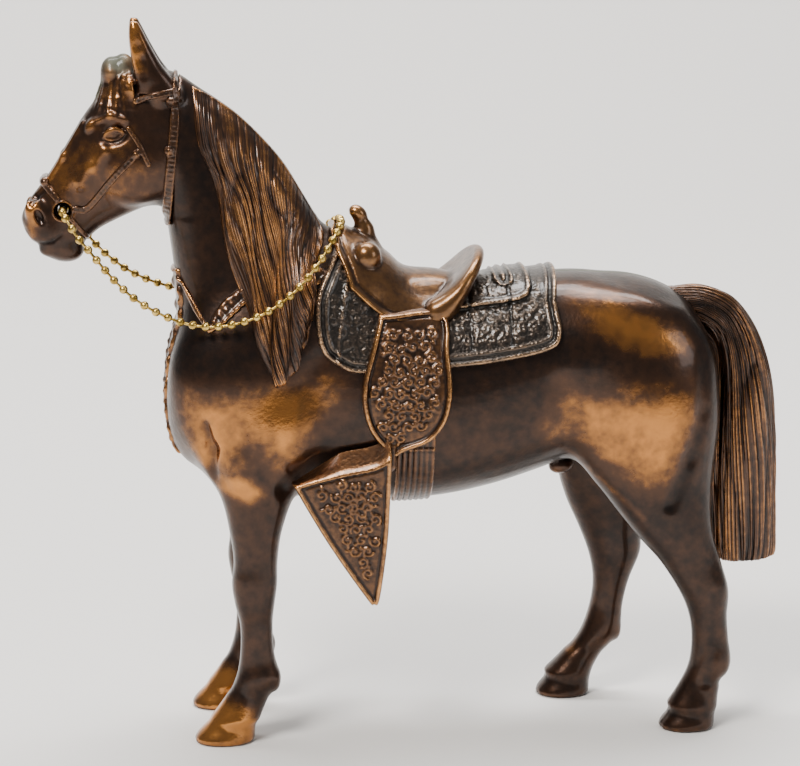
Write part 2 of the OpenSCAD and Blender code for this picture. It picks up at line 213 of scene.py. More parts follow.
brass = bead_brass()
rein_line = through(REIN_LEFT + REIN_RIGHT, 6)
chain = grown("bead_chain_reins", line_object("rein_route", rein_line), bead_chain_tree(),
              {"Bead radius": BEAD / 2 * MM, "Pitch": PITCH * MM, "Wire radius": LINK_WIRE / 2 * MM,
               "Material": brass})
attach(chain, "reins")
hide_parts("rein_chain")

# Clasp: a slit brass sleeve that snaps over the two end beads and closes the loop.
CLASP_LENGTH = 6.4
CLASP_R = 1.5


def turned_piece(name, start, end, profile, sides, material):
    """A lathe-turned piece on the line from start to end; profile is (share of the way, radius) pairs."""
    start, end = Vector(start), Vector(end)
    turn = (end - start).to_track_quat("Z", "Y")
    verts, faces = [], []
    for share, radius in profile:
        for a in range(sides):
            angle = 2 * math.pi * a / sides
            p = turn @ Vector((radius * math.cos(angle), radius * math.sin(angle), (end - start).length * share))
            verts.append(tuple(start + p))
    for i in range(len(profile) - 1):
        for a in range(sides):
            b = (a + 1) % sides
            faces.append((i * sides + a, i * sides + b, (i + 1) * sides + b, (i + 1) * sides + a))
    last = (len(profile) - 1) * sides
    faces.append(tuple(reversed(range(sides))))
    faces.append(tuple(last + a for a in range(sides)))
    return new_piece(name, verts, faces, material)


clasp_from, clasp_to = np.array(REIN_RIGHT[9]), np.array(REIN_RIGHT[10])
clasp_mid = (clasp_from + clasp_to) / 2
clasp_way = (clasp_to - clasp_from) / np.linalg.norm(clasp_to - clasp_from)
clasp = turned_piece("rein_clasp_sleeve", clasp_mid - clasp_way * CLASP_LENGTH / 2,
                     clasp_mid + clasp_way * CLASP_LENGTH / 2,
                     [(0, 0.8), (0.01, 1.15), (0.06, 1.42), (0.13, CLASP_R), (0.42, CLASP_R), (0.46, 1.36),
                      (0.54, 1.36), (0.58, CLASP_R), (0.87, CLASP_R), (0.94, 1.42), (0.99, 1.15), (1, 0.8)],
                     24, brass)
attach(clasp, "reins")
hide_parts("rein_clasp")

# ---------------------------------------------------------------------------------------------
# The horse: two half castings, soldered along the middle. The shape is worked up as a pattern maker
# does, from lofted wax masses that are blended, built up with muscle and cut in with the details.
TRUNK = [  # top x, z, bottom x, z, half width, how much fuller below
    (-65.2, 103, -65.2, 88, 5, 0), (-63.9, 109, -63.9, 82, 11, 0), (-59.4, 116, -58.6, 75, 16, 0),
    (-50, 124, -50, 70, 18.8, 0.02), (-38, 131, -38, 67.5, 19.6, 0.06), (-27, 136.6, -27, 66.5, 20.2, 0.1),
    (-19, 138.4, -19, 66, 21, 0.14), (-9, 133, -8, 65.6, 22, 0.12), (1, 126.6, 1, 65.8, 22.7, 0.08),
    (12, 124.8, 12, 67, 23.1, 0.06), (24, 127, 24, 69.6, 23.2, 0.04), (35, 128.8, 35, 73, 22.9, 0.02),
    (46, 129.4, 46, 76.5, 22, 0), (56, 128.4, 57, 76, 21.2, 0), (66, 125.8, 68, 75, 20, 0),
    (74, 122, 76, 77, 17.4, 0), (80, 116.5, 82, 82, 13.2, 0), (83.6, 109, 85, 90, 7, 0)]
NECK = [
    (-54, 92, -10, 131, 16, 0), (-61.4, 106, -17, 136, 17.6, -0.1), (-62.9, 114.6, -22, 140.3, 15.8, -0.2),
    (-63.8, 124, -28.6, 151.2, 12.8, -0.26), (-64.8, 133, -34.6, 161.1, 10.8, -0.3),
    (-65.8, 141, -42, 169.5, 9.6, -0.3), (-67, 149, -50, 176.1, 8.9, -0.28),
    (-70, 158, -58, 182.1, 8.4, -0.24), (-74, 168, -65, 186, 7.6, -0.14), (-80, 178, -74, 184, 4, 0)]
HEAD = [
    (-69, 186.6, -62, 180, 4, 0), (-76.4, 185.8, -60.8, 166, 7.6, 0.02), (-82.2, 181.6, -65.4, 151.6, 9.3, 0.02),
    (-87.2, 176, -73, 148.8, 8.6, -0.02), (-91.4, 169.6, -79.4, 146, 7.4, -0.08),
    (-94.8, 164, -84.6, 143.4, 6.4, -0.1), (-97.8, 159.2, -88, 140.6, 5.9, -0.06),
    (-101.4, 154.4, -90.4, 138.2, 5.8, 0), (-104.4, 150.4, -93, 136.6, 5.9, 0.04),
    (-105.9, 146.6, -95.6, 136.4, 5.4, 0), (-105.3, 143.4, -98.6, 138, 3.9, 0)]
FORELEG = [  # the last number is how far the leg sets in from its track
    (-55.2, 7, -43.6, 7, 5.3, 0, 0), (-52.6, 12, -40.8, 12.4, 4.5, 0, 0), (-50, 17.6, -37.6, 18, 5.1, 0, 0),
    (-48.6, 24, -39, 25, 4.1, 0, 0), (-48.4, 33, -39.4, 33.5, 4.2, 0, 0), (-49.8, 39.5, -38.8, 39.5, 5.3, 0, 0),
    (-50.6, 45.5, -38, 45.5, 5.8, 0, 0), (-50, 52, -37.8, 52, 5.5, 0, 0.2), (-51, 60, -36.6, 60, 6.4, 0, 0.6),
    (-53, 69, -33.6, 69, 7.6, 0, 1.6), (-57, 78, -30, 78, 8.7, 0, 2.8), (-61.5, 90, -28, 90, 9.4, 0, 4.4),
    (-60, 104, -30, 104, 9, 0, 5.8), (-52, 116, -32, 116, 6.6, 0, 7)]
HINDLEG_BACK = [
    (72.6, 7, 85.4, 7, 5.3, 0, 0), (75.4, 12, 86, 12, 4.6, 0, 0), (78.2, 18, 90, 18.6, 5.2, 0, 0),
    (79, 25, 89.4, 26, 4.3, 0, 0), (78.2, 32.4, 88.8, 33, 4.5, 0, 0), (75.4, 39.6, 89, 40.6, 5.6, 0, 0),
    (69.6, 48.8, 86.6, 49, 5.8, 0, 0.3), (62.8, 56.6, 84.4, 57, 7.4, 0, 1), (54, 68, 84, 66, 9.2, 0, 2.4),
    (46, 80, 85, 80, 10.6, 0, 4.2), (46.5, 94, 86, 94, 11, 0, 5.4), (51, 108, 83, 108, 10, 0, 6.6),
    (58, 118, 76, 118, 6, 0, 8.4)]
HINDLEG_FRONT = [
    (42.4, 7, 54.4, 7, 5.3, 0, 0), (47.4, 12, 58.4, 12, 4.6, 0, 0), (52.4, 18.6, 63.8, 18.6, 5.2, 0, 0),
    (55.2, 27, 65, 27.6, 4.3, 0, 0), (56, 34.6, 66.8, 35, 4.6, 0, 0), (54.8, 42, 69.8, 43, 5.6, 0, 0),
    (51.6, 50.6, 70.2, 51, 6.2, 0, 0.4), (47.4, 60, 74, 60, 7.7, 0, 1.2), (44.6, 70, 79, 70, 9.2, 0, 2.6),
    (44, 82, 83.4, 82, 10.6, 0, 4.2), (46.5, 94, 85.4, 94, 11, 0, 5.4), (51, 108, 83, 108, 10, 0, 6.6),
    (58, 118, 76, 118, 6, 0, 8.4)]
FORE_TRACK, HIND_TRACK = 15.4, 16.4
BODY_STEP, HEAD_STEP = 0.68, 0.36          # grain of the wax on the body and on the head
THROAT_CUT = ((-62.2, 190), (-66.9, 146))  # the throatlatch covers this join between head and neck
BIT_X, BIT_Z, BIT_R = -94.6, 148.9, 2.3    # the hole for the reins, drilled across the mouth
BIT_R_INSIDE = 1.5                         # narrower near the middle of the mouth


def loft_rings(stations, sides):
    """Smooth oval rings through stations."""
    rows = through([row if len(row) > 6 else (*row, 0) for row in stations], 5)
    angle = np.arange(sides) * 2 * np.pi / sides
    along = np.sign(np.cos(angle)) * np.abs(np.cos(angle)) ** 0.9
    across = np.sign(np.sin(angle)) * np.abs(np.sin(angle)) ** 0.9
    middle, half = (rows[:, 0:2] + rows[:, 2:4]) / 2, (rows[:, 2:4] - rows[:, 0:2]) / 2
    x = middle[:, :1] + half[:, :1] * along
    z = middle[:, 1:] + half[:, 1:] * along
    y = across * rows[:, 4:5] * (1 + rows[:, 5:6] * along) - rows[:, 6:7]
    return np.stack([x, y, z], 2)


def ring_faces(count, sides):
    """Faces of a closed skin over rings."""
    a = np.arange(count - 1)[:, None] * sides + np.arange(sides)
    b = np.arange(count - 1)[:, None] * sides + (np.arange(sides) + 1) % sides
    return np.stack([a, b, b + sides, a + sides], 2).reshape(-1, 4)


class Wax:
    """A block of wax held as distances to its surface on an even lattice, negative inside."""

    def __init__(self, low, high, step):
        self.low, self.step = np.array(low, float), step
        self.shape = np.ceil((np.array(high) - low) / step).astype(int) + 1
        self.d = np.full(self.shape, 9.0, np.float32)

    def window(self, low, high):
        """The lattice slices between two corners, and their coordinates."""
        first = np.clip(np.floor((np.array(low) - self.low) / self.step).astype(int), 0, self.shape - 1)
        last = np.clip(np.ceil((np.array(high) - self.low) / self.step).astype(int) + 1, 1, self.shape)
        part = tuple(slice(a, max(a + 1, b)) for a, b in zip(first, last))
        axes = [self.low[i] + self.step * np.arange(cells.start, cells.stop, dtype=np.float32)
                for i, cells in enumerate(part)]
        return part, np.ix_(*axes), first

    def places(self):
        """The coordinates of the whole lattice."""
        return self.window(self.low, self.low + self.step * self.shape)[1]

    def blend(self, part, other, soft):
        """Adds other wax in a window, with a soft fillet."""
        mine = self.d[part]
        share = np.clip(0.5 + 0.5 * (mine - other) / soft, 0, 1)
        self.d[part] = mine + (other - mine) * share - soft * share * (1 - share)

    def cut(self, part, other, soft):
        """Takes other away in a window, with a soft edge."""
        mine = self.d[part]
        share = np.clip(0.5 - 0.5 * (mine + other) / soft, 0, 1)
        self.d[part] = mine + (-other - mine) * share + soft * share * (1 - share)

    def mass(self, rings, soft, band=7.0):
        """Adds a lofted mass."""
        count, sides = rings.shape[:2]
        verts = np.vstack([rings.reshape(-1, 3), rings[0].mean(0), rings[-1].mean(0)])
        start, end = count * sides, count * sides + 1
        around = np.arange(sides)
        after = (around + 1) % sides
        last = (count - 1) * sides
        caps = np.vstack([np.c_[after, around, np.full(sides, start)],
                          np.c_[last + around, last + after, np.full(sides, end)]])
        low, high = verts.min(0) - band, verts.max(0) + band
        part, _, first = self.window(low, high)
        skin = vdb.FloatGrid.createLevelSetFromPolygons(
            np.ascontiguousarray((verts - self.low) / self.step, np.float32),
            np.ascontiguousarray(caps, np.uint32),
            np.ascontiguousarray(ring_faces(count, sides), np.uint32), halfWidth=band / self.step)
        other = np.empty([s.stop - s.start for s in part], np.float32)
        skin.copyToArray(other, tuple(int(v) for v in first))
        self.blend(part, other * self.step, soft)

    def knob(self, centre, radii, soft, tilt=0.0, cut=False):
        """Adds, or cuts, an egg shape; tilt turns it in the side view, from X towards Z."""
        centre, radii = np.array(centre, float), np.array(radii, float)
        reach = radii.max() + soft + 1
        part, (x, y, z), _ = self.window(centre - reach, centre + reach)
        c, s = math.cos(math.radians(tilt)), math.sin(math.radians(tilt))
        dx, dy, dz = x - centre[0], y - centre[1], z - centre[2]
        u, v = dx * c + dz * s, dz * c - dx * s
        k0 = np.sqrt((u / radii[0]) ** 2 + (dy / radii[1]) ** 2 + (v / radii[2]) ** 2) + 1e-6
        k1 = np.sqrt((u / radii[0] ** 2) ** 2 + (dy / radii[1] ** 2) ** 2 + (v / radii[2] ** 2) ** 2) + 1e-6
        (self.cut if cut else self.blend)(part, k0 * (k0 - 1) / k1, soft)

    def rod(self, start, end, r0, r1, soft, cut=False):
        """Adds, or cuts, a tapered rod."""
        start, end = np.array(start, float), np.array(end, float)
        reach = max(r0, r1) + soft + 1
        part, (x, y, z), _ = self.window(np.minimum(start, end) - reach, np.maximum(start, end) + reach)
        way = end - start
        t = np.clip(((x - start[0]) * way[0] + (y - start[1]) * way[1] + (z - start[2]) * way[2])
                    / way.dot(way), 0, 1)
        gap = np.sqrt((x - start[0] - t * way[0]) ** 2 + (y - start[1] - t * way[1]) ** 2
                      + (z - start[2] - t * way[2]) ** 2)
        (self.cut if cut else self.blend)(part, gap - (r0 + (r1 - r0) * t), soft)

    def trail(self, points, radii, soft, cut=False):
        """Rods one after another through points."""
        for i in range(len(points) - 1):
            self.rod(points[i], points[i + 1], radii[i], radii[i + 1], soft, cut)

    def out_to(self, x, z, side):
        """How far out the skin is at a place of the side view."""
        i, k = (np.round((np.array([x, z]) - self.low[[0, 2]]) / self.step)).astype(int)
        if not (0 <= i < self.shape[0] and 0 <= k < self.shape[2]):
            return 0.0
        column = self.d[i, :, k] if side > 0 else self.d[i, ::-1, k]
        solid = np.nonzero(column < 0)[0]
        if not len(solid) or solid[-1] + 1 >= len(column):
            return 0.0
        a, b = column[solid[-1]], column[solid[-1] + 1]
        place = solid[-1] - a / (b - a)
        if side > 0:
            return self.low[1] + self.step * place
        return -(self.low[1] + self.step * (len(column) - 1 - place))

    def hug(self, places, side, lift=0.0):
        """Puts places of the side view on the skin, or lift above it."""
        return [(x, side * (self.out_to(x, z, side) + lift), z) for x, z in places]

    def keep(self, distance):
        """Keeps only the wax where distance is negative."""
        self.d = np.maximum(self.d, distance)

    def skin(self):
        """Points in millimetres and quads of the surface."""
        grid = vdb.FloatGrid(9.0)
        grid.copyFromArray(np.ascontiguousarray(self.d, np.float32))
        points, quads = grid.convertToQuads(isovalue=0.0)
        return points * self.step + self.low, quads.astype(int)


def hoof_wax(wax, toe, y, length):
    """A hoof with a sloping wall and heel bulbs; toe is the x of its toe on the ground."""
    rings = []
    for z, front, back, half in ((0, 0.9, 16.2, 6.1), (0.7, 0.1, 16.8, 6.8), (2.4, 0.9, 17, 6.6),
                                 (5, 3.4, 17, 5.7), (8, 6.6, 17, 4.6), (11.5, 10, 17.4, 3.6)):
        rings.append((toe + front * length, z, toe + back * length, z, half, 0, -y))
    wax.mass(loft_rings(rings, 40), 4, 5)


def horse_wax(wax):
    """All masses of the horse."""
    wax.mass(loft_rings(TRUNK, 72), 0.1)
    wax.mass(loft_rings(NECK, 56), 9, 11)
    wax.mass(loft_rings(HEAD, 56), 3.5)
    for side in (-1, 1):
        for stations, track in ((FORELEG, FORE_TRACK),
                                (HINDLEG_BACK if side < 0 else HINDLEG_FRONT, HIND_TRACK)):
            rings = loft_rings(stations, 40)
            rings[:, :, 1] = side * (rings[:, :, 1] + track)
            wax.mass(rings if side > 0 else rings[:, ::-1], 6)
        hoof_wax(wax, -61.6, side * FORE_TRACK, 1.0)
        hoof_wax(wax, 70 if side < 0 else 39.4, side * HIND_TRACK, 0.93)
        body_relief(wax, side)
        leg_relief(wax, side)
        face_relief(wax, side)
    # withers, tail root, chest groove and the sheath under the flank
    wax.knob((-24, 0, 133), (12, 5, 6), 6, -20)
    wax.knob((68, 0, 119.6), (12, 8, 5), 6, -22)
    wax.trail([(-67, 0, 112), (-68, 0, 98), (-63, 0, 80)], [1.2, 1.8, 1.2], 3, cut=True)
    wax.knob((43.4, -1, 73.6), (3.6, 2.8, 2.4), 1.2, 10)
    wax.knob((-80.6, 0, 186), (3, 3.8, 4), 1.4)                         # base of the forelock
    wax.knob((-77.4, 0, 187), (3, 3.6, 3.8), 1.2)


def body_relief(wax, s):
    """Muscles of the trunk and quarters on side s."""
    wax.knob((-48, s * 10.8, 101), (17, 9.6, 19), 9, 6)                 # shoulder
    wax.knob((-37, s * 12.4, 88), (11, 8.6, 10), 8, 20)                 # upper arm
    wax.knob((-61, s * 5.6, 91), (5, 5.4, 11), 5, 4)                    # breast muscle
    wax.trail([(-35.5, s * 21.5, 73), (-27, s * 23.4, 80), (-17, s * 24.4, 90.5), (-10, s * 25.4, 95)],
              [1.7, 1.5, 1.3, 0.6], 3.2, cut=True)                      # fold behind the arm
    wax.trail([(-57.4, s * 20, 92), (-55.6, s * 19, 85), (-55.4, s * 17.6, 77)], [0.2, 0.6, 0.4], 3.4, cut=True)
    wax.knob((-47.2, s * 19.4, 80), (5, 3.3, 8.4), 1.5, 8)            # top of the forearm
    wax.knob((60, s * 11.4, 104), (21, 10.6, 19), 8, -10)               # rump
    wax.knob((66, s * 13.6, 88), (15, 9.2, 18), 8, 14)                  # thigh
    wax.trail([(40.5, s * 27, 100), (43, s * 26.4, 90), (46, s * 24.4, 81)], [2.2, 2.8, 1.5], 6,
              cut=True)                                             # hollow of the flank
    wax.trail([(81, s * 21, 108), (80.6, s * 23.6, 93), (76.4, s * 24.4, 80), (70.6, s * 24, 67)],
              [0.7, 1.2, 1.2, 0.5], 3.5, cut=True)                      # back of the thigh


def leg_relief(wax, s):
    """The few folds that the legs show on side s."""
    y = s * FORE_TRACK
    wax.trail([(-40.6, y + s * 6.4, 50), (-40.8, y + s * 5.6, 34), (-40.2, y + s * 5.6, 22)], [0.5, 0.6, 0.4],
              2.2, cut=True)
    wax.knob((-38.9, y, 17), (1.2, 3, 2.6), 2)                          # fetlock
    x, z = (0, 0) if s < 0 else (-23, 1.4)                              # the right hind leg stands forward
    y = s * HIND_TRACK
    wax.trail([(83.4 + x, y + s * 6, 40 + z), (84 + x, y + s * 5.4, 27 + z), (82.6 + x, y + s * 5.4, 14 + z)],
              [0.5, 0.6, 0.5], 2, cut=True)
    wax.knob((87.6 + x * 1.08, y, 18 + z * 0.4), (1.4, 3, 2.6), 2)


def face_relief(wax, s):
    """Cheek, eye, nostril, lips, forelock and ear on side s."""
    wax.knob((-74.6, s * 5.6, 160.5), (9.8, 4.5, 9.4), 3, 40)            # cheek plate
    wax.trail(wax.hug([(-83, 165.4), (-86.4, 161), (-89.3, 157)], s, -0.7), [0.9, 1.2, 1.7], 2.4)
    wax.trail(wax.hug([(-88.6, 172.4), (-94, 163.6), (-99, 156)], s, 0.1), [0.7, 0.6, 0.5], 1.4)   # nose bone
    wax.knob((-86.2, s * (wax.out_to(-86.2, 172, s) - 0.3), 172), (2.2, 1.3, 1.5), 1.2, 50)
    skin = wax.out_to(-80.4, 170.2, s)
    wax.knob((-80.4, s * (skin + 0.6), 170), (3.5, 1.7, 2.4), 1.8, 12, cut=True)          # socket
    wax.knob((-80.4, s * (skin - 1.1), 169.9), (2, 1.6, 1.45), 0.4, 12)                    # eyeball
    upper = through([(-83, skin - 0.7, 169.1), (-81.9, skin - 0.1, 170.6), (-79.9, skin + 0.1, 171.3),
                     (-77.6, skin, 170.4)], 3)
    lower = through([(-83, skin - 0.7, 169), (-81.4, skin - 0.2, 168.5), (-79.2, skin - 0.1, 168.8),
                     (-77.6, skin, 170.1)], 3)
    wax.trail(upper * (1, s, 1), [0.3, 0.42, 0.52, 0.6, 0.64, 0.66, 0.62, 0.54, 0.44, 0.3], 0.5)
    wax.trail(lower * (1, s, 1), [0.25, 0.32, 0.38, 0.42, 0.42, 0.42, 0.4, 0.36, 0.3, 0.25], 0.5)
    wax.trail(wax.hug([(-84.6, 173.4), (-81, 174.8), (-77, 173.8)], s, -0.2), [0.6, 0.9, 0.6], 1)  # brow fold
    wax.trail([(-75.6, s * 11.4, 178), (-73, s * 11.2, 173.6)], [1.1, 0.9], 2.4, cut=True)    # hollow over the eye
    wax.trail([(-78, s * 10.2, 147), (-86, s * 8.8, 143.6)], [0.9, 1.3], 2.6, cut=True)   # under the jaw bar
    wax.knob((-101.8, s * 4.2, 148.4), (2.8, 1.9, 3.8), 1.6, 28)                          # nostril rim
    skin = wax.out_to(-101, 147.4, s)
    wax.knob((-101, s * (skin + 0.2), 147.4), (1.25, 1.5, 2.3), 0.6, 20, cut=True)
    wax.trail(wax.hug([(-99.2, 154.6), (-101.8, 152.6), (-103.4, 150.4)], s, 0.4), [0.4, 0.7, 0.5], 0.9, cut=True)
    wax.trail(wax.hug([(-102, 140.2), (-100, 139.9), (-97.6, 140.6), (-95, 142.6)], s, 0.15),
              [0.3, 0.4, 0.4, 0.25], 0.6, cut=True)                      # mouth
    wax.knob((-101.4, s * 1.8, 142.8), (2.7, 2.7, 3), 1.6)                   # upper lip
    wax.knob((-97.8, s * 2.1, 138.4), (3.6, 2.8, 2.5), 1.6, 10)                # lower lip
    wax.knob((-94.4, 0, 137.6), (4.6, 3.8, 3), 2, -6)                 # chin
    # forelock: a tuft between the ears that fans out and stops over the eye
    for i in range(16):
        t = i / 15
        places = [(-81.6 + 6 * t, 187), (-82.8 + 7.2 * t, 183.4), (-84.4 + 9.4 * t, 179.4),
                  (-86.2 + 12.4 * t, 175.8 - 2.2 * t)]
        line = wax.hug(places, s, 0.2 * (i % 3) - 0.35)
        line[0] = (line[0][0], s * (1.6 + 0.8 * (i % 3)), 186)
        line[3] = (line[3][0], line[3][1] - s * 0.35, line[3][2])
        wax.trail(through(line, 2), [0.7, 0.72, 0.72, 0.68, 0.62, 0.5, 0.25], 0.3)
    # ear: a cupped leaf that opens forwards and outwards
    leaf = loft_rings([(-74, 181, -62, 179, 3.4, 0), (-74.6, 185.6, -63.8, 183.6, 3.6, 0),
                       (-75.3, 190, -67.4, 188.6, 3.2, 0), (-75.8, 194.4, -70.2, 193.6, 2.8, 0),
                       (-75.8, 197.6, -72, 197.2, 2.1, 0), (-75.4, 199.9, -73.4, 199.8, 1.1, 0)], 28)
    leaf[:, :, 1] = s * (leaf[:, :, 1] + 6)
    wax.mass(leaf if s > 0 else leaf[:, ::-1], 1.6)
    wax.trail([(-72.8, s * 10.5, 185.4), (-73.2, s * 10.6, 189.6), (-73.9, s * 10, 193.6), (-74.6, s * 9, 197)],
              [1.7, 2.2, 1.8, 0.9], 0.8, cut=True)
    wax.trail([(-64.8, s * 5.8, 180.6), (-68, s * 7, 180)], [2.4, 2.2], 2.5)              # ear root muscle


def head_side(x, z):
    """How far a point of the side view lies on the head's side of the throat cut."""
    (x0, z0), (x1, z1) = THROAT_CUT
    way = np.array([x1 - x0, z1 - z0]) / math.hypot(x1 - x0, z1 - z0)
    return (x - x0) * way[1] - (z - z0) * way[0]


def soft_both(a, b, soft):
    """Distance to what two shapes share, with a soft edge."""
    share = np.clip(0.5 - 0.5 * (b - a) / soft, 0, 1)
    return b + (a - b) * share + soft * share * (1 - share)


def proud(points, quads, rounds):
    """How far each point stands out of the smoothed surface, in millimetres."""
    across = np.cross(points[quads[:, 2]] - points[quads[:, 0]], points[quads[:, 3]] - points[quads[:, 1]])
    normal = np.stack([np.bincount(quads.ravel(), np.repeat(across[:, i], 4), len(points)) for i in range(3)], 1)
    normal /= np.linalg.norm(normal, axis=1, keepdims=True) + 1e-9
    ring = np.vstack([quads[:, [0, 1]], quads[:, [1, 2]], quads[:, [2, 3]], quads[:, [3, 0]]])
    count = np.maximum(np.bincount(ring[:, 0], minlength=len(points))
                       + np.bincount(ring[:, 1], minlength=len(points)), 1)
    mean = points.copy()
    for _ in range(rounds):
        mean = np.stack([np.bincount(ring[:, 0], mean[ring[:, 1], i], len(points))
                         + np.bincount(ring[:, 1], mean[ring[:, 0], i], len(points)) for i in range(3)], 1)
        mean /= count[:, None]
    return ((points - mean) * normal).sum(1)


def mark(piece, **values):
    """Stores numbers on the points of a piece for its material to read."""
    for name, numbers in values.items():
        layer = piece.data.attributes.new(name, "FLOAT", "POINT")
        layer.data.foreach_set("value", np.asarray(numbers, np.float32))


def outline_gap(x, z, outline, rounds=4):
    """Signed distance in the side view to a closed smooth outline, negative inside."""
    path = through(list(outline) + [outline[0]], rounds)
    gap = np.full(np.broadcast(x, z).shape, 1e6, np.float32)
    inside = np.zeros(gap.shape, bool)
    for a, b in zip(path[:-1], path[1:]):
        way = b - a
        t = np.clip(((x - a[0]) * way[0] + (z - a[1]) * way[1]) / (way @ way + 1e-9), 0, 1)
        gap = np.minimum(gap, (x - a[0] - t * way[0]) ** 2 + (z - a[1] - t * way[1]) ** 2)
        inside ^= ((a[1] > z) != (b[1] > z)) & (x < way[0] * (z - a[1]) / (way[1] + 1e-9) + a[0])
    return np.where(inside, -1, 1) * np.sqrt(gap)


def line_gap(x, z, lines):
    """Distance in the side view to the nearest of some lines."""
    gap = np.full(np.broadcast(x, z).shape, 1e6, np.float32)
    for line in lines:
        for a, b in zip(line[:-1], line[1:]):
            way = np.array(b) - a
            t = np.clip(((x - a[0]) * way[0] + (z - a[1]) * way[1]) / (way @ way + 1e-9), 0, 1)
            gap = np.minimum(gap, (x - a[0] - t * way[0]) ** 2 + (z - a[1] - t * way[1]) ** 2)
    return np.sqrt(gap)


def hump(gap, width):
    """A rounded ridge, 1 at gap 0 and 0 from width outwards."""
    return np.clip(1 - (gap / width) ** 2, 0, 1) ** 1.5


COPPER_PATCHES = [  # outline in the side view, strength, soft edge
    ([(-64, 101.6), (-47, 101), (-33, 103), (-24, 106), (-20, 100), (-30, 87), (-36.3, 80.5), (-44.7, 84),
      (-51.9, 79), (-58.9, 80.7), (-64, 90.6)], 0.7, 11),
    ([(-44, 100), (-31, 101), (-31, 90), (-38, 82)], 0.85, 7),
    ([(43.9, 123.2), (53.8, 124.4), (73.9, 114.3), (74, 108), (61.9, 110.3), (48.7, 117)], 0.85, 9),
    ([(40, 104), (52, 98), (76.3, 99), (74.3, 87.6), (67.6, 71.3), (57.1, 74.7), (42.8, 83.5), (35.4, 88)],
     0.85, 9),
    ([(48, 100), (60, 104), (75, 104), (75, 96), (56, 96)], 0.5, 10),
    ([(-54, 78), (-46, 77), (-41.6, 72.4), (-46, 70), (-53, 72.6)], 0.7, 4),
    ([(-62.6, 9), (-60, 1.5), (-44, 1.5), (-44.4, 8.6), (-50, 12), (-55, 12)], 0.85, 5),
    ([(41, 43), (45, 43), (50.4, 25), (49.4, 14), (46.6, 15), (46.4, 25)], 0.7, 4),
    ([(-76, 187), (-76.4, 193), (-76.2, 203), (-74.4, 203), (-72.6, 194), (-72, 187)], 0.7, 4),
    ([(-82, 187), (-75, 187), (-73.4, 175), (-86, 177)], 0.5, 5),
    ([(-104, 158), (-98, 164), (-86, 170), (-82, 162), (-92, 152), (-98, 152)], 0.45, 8),
    ([(-98, 162), (-86, 182), (-72, 182), (-66, 160), (-76, 149), (-94, 146)], 0.3, 12),
    ([(-104.6, 152), (-102, 152), (-101, 146), (-103, 141), (-105.4, 146)], 0.6, 3)]


def polish(points):
    """Where the buffing wheel went through to the copper, and a painted highlight along the front edge of each
    thigh.
    """
    x, z = points[:, 0], points[:, 2]
    shine = np.zeros(len(points))
    for outline, strength, soft in COPPER_PATCHES:
        shine = np.maximum(shine, strength * np.clip(0.5 - outline_gap(x, z, outline) / soft, 0, 1))
    # painted highlight: a thin bright copper line down the front edge of each thigh, where a glossy edge catches
    # the light
    edge = line_gap(x, z, [[(38, 84.4), (43, 81.8), (63.6, 62.9)]])
    return np.maximum(shine, 0.55 * hump(edge, 1.4))


def seam_grime(points):
    """Grey-green dirt along the join on the crest, brow and croup, and on the forelock knob."""
    band = 0.75 * np.clip(1.6 - np.abs(points[:, 1]) / 1.1, 0, 1) * (points[:, 2] > 120)
    knob = np.linalg.norm((points - (-79, 0, 188)) / (5.4, 5.4, 3.6), axis=1)
    return np.maximum(band, 0.85 * np.clip(1.9 - 1.5 * knob, 0, 1))


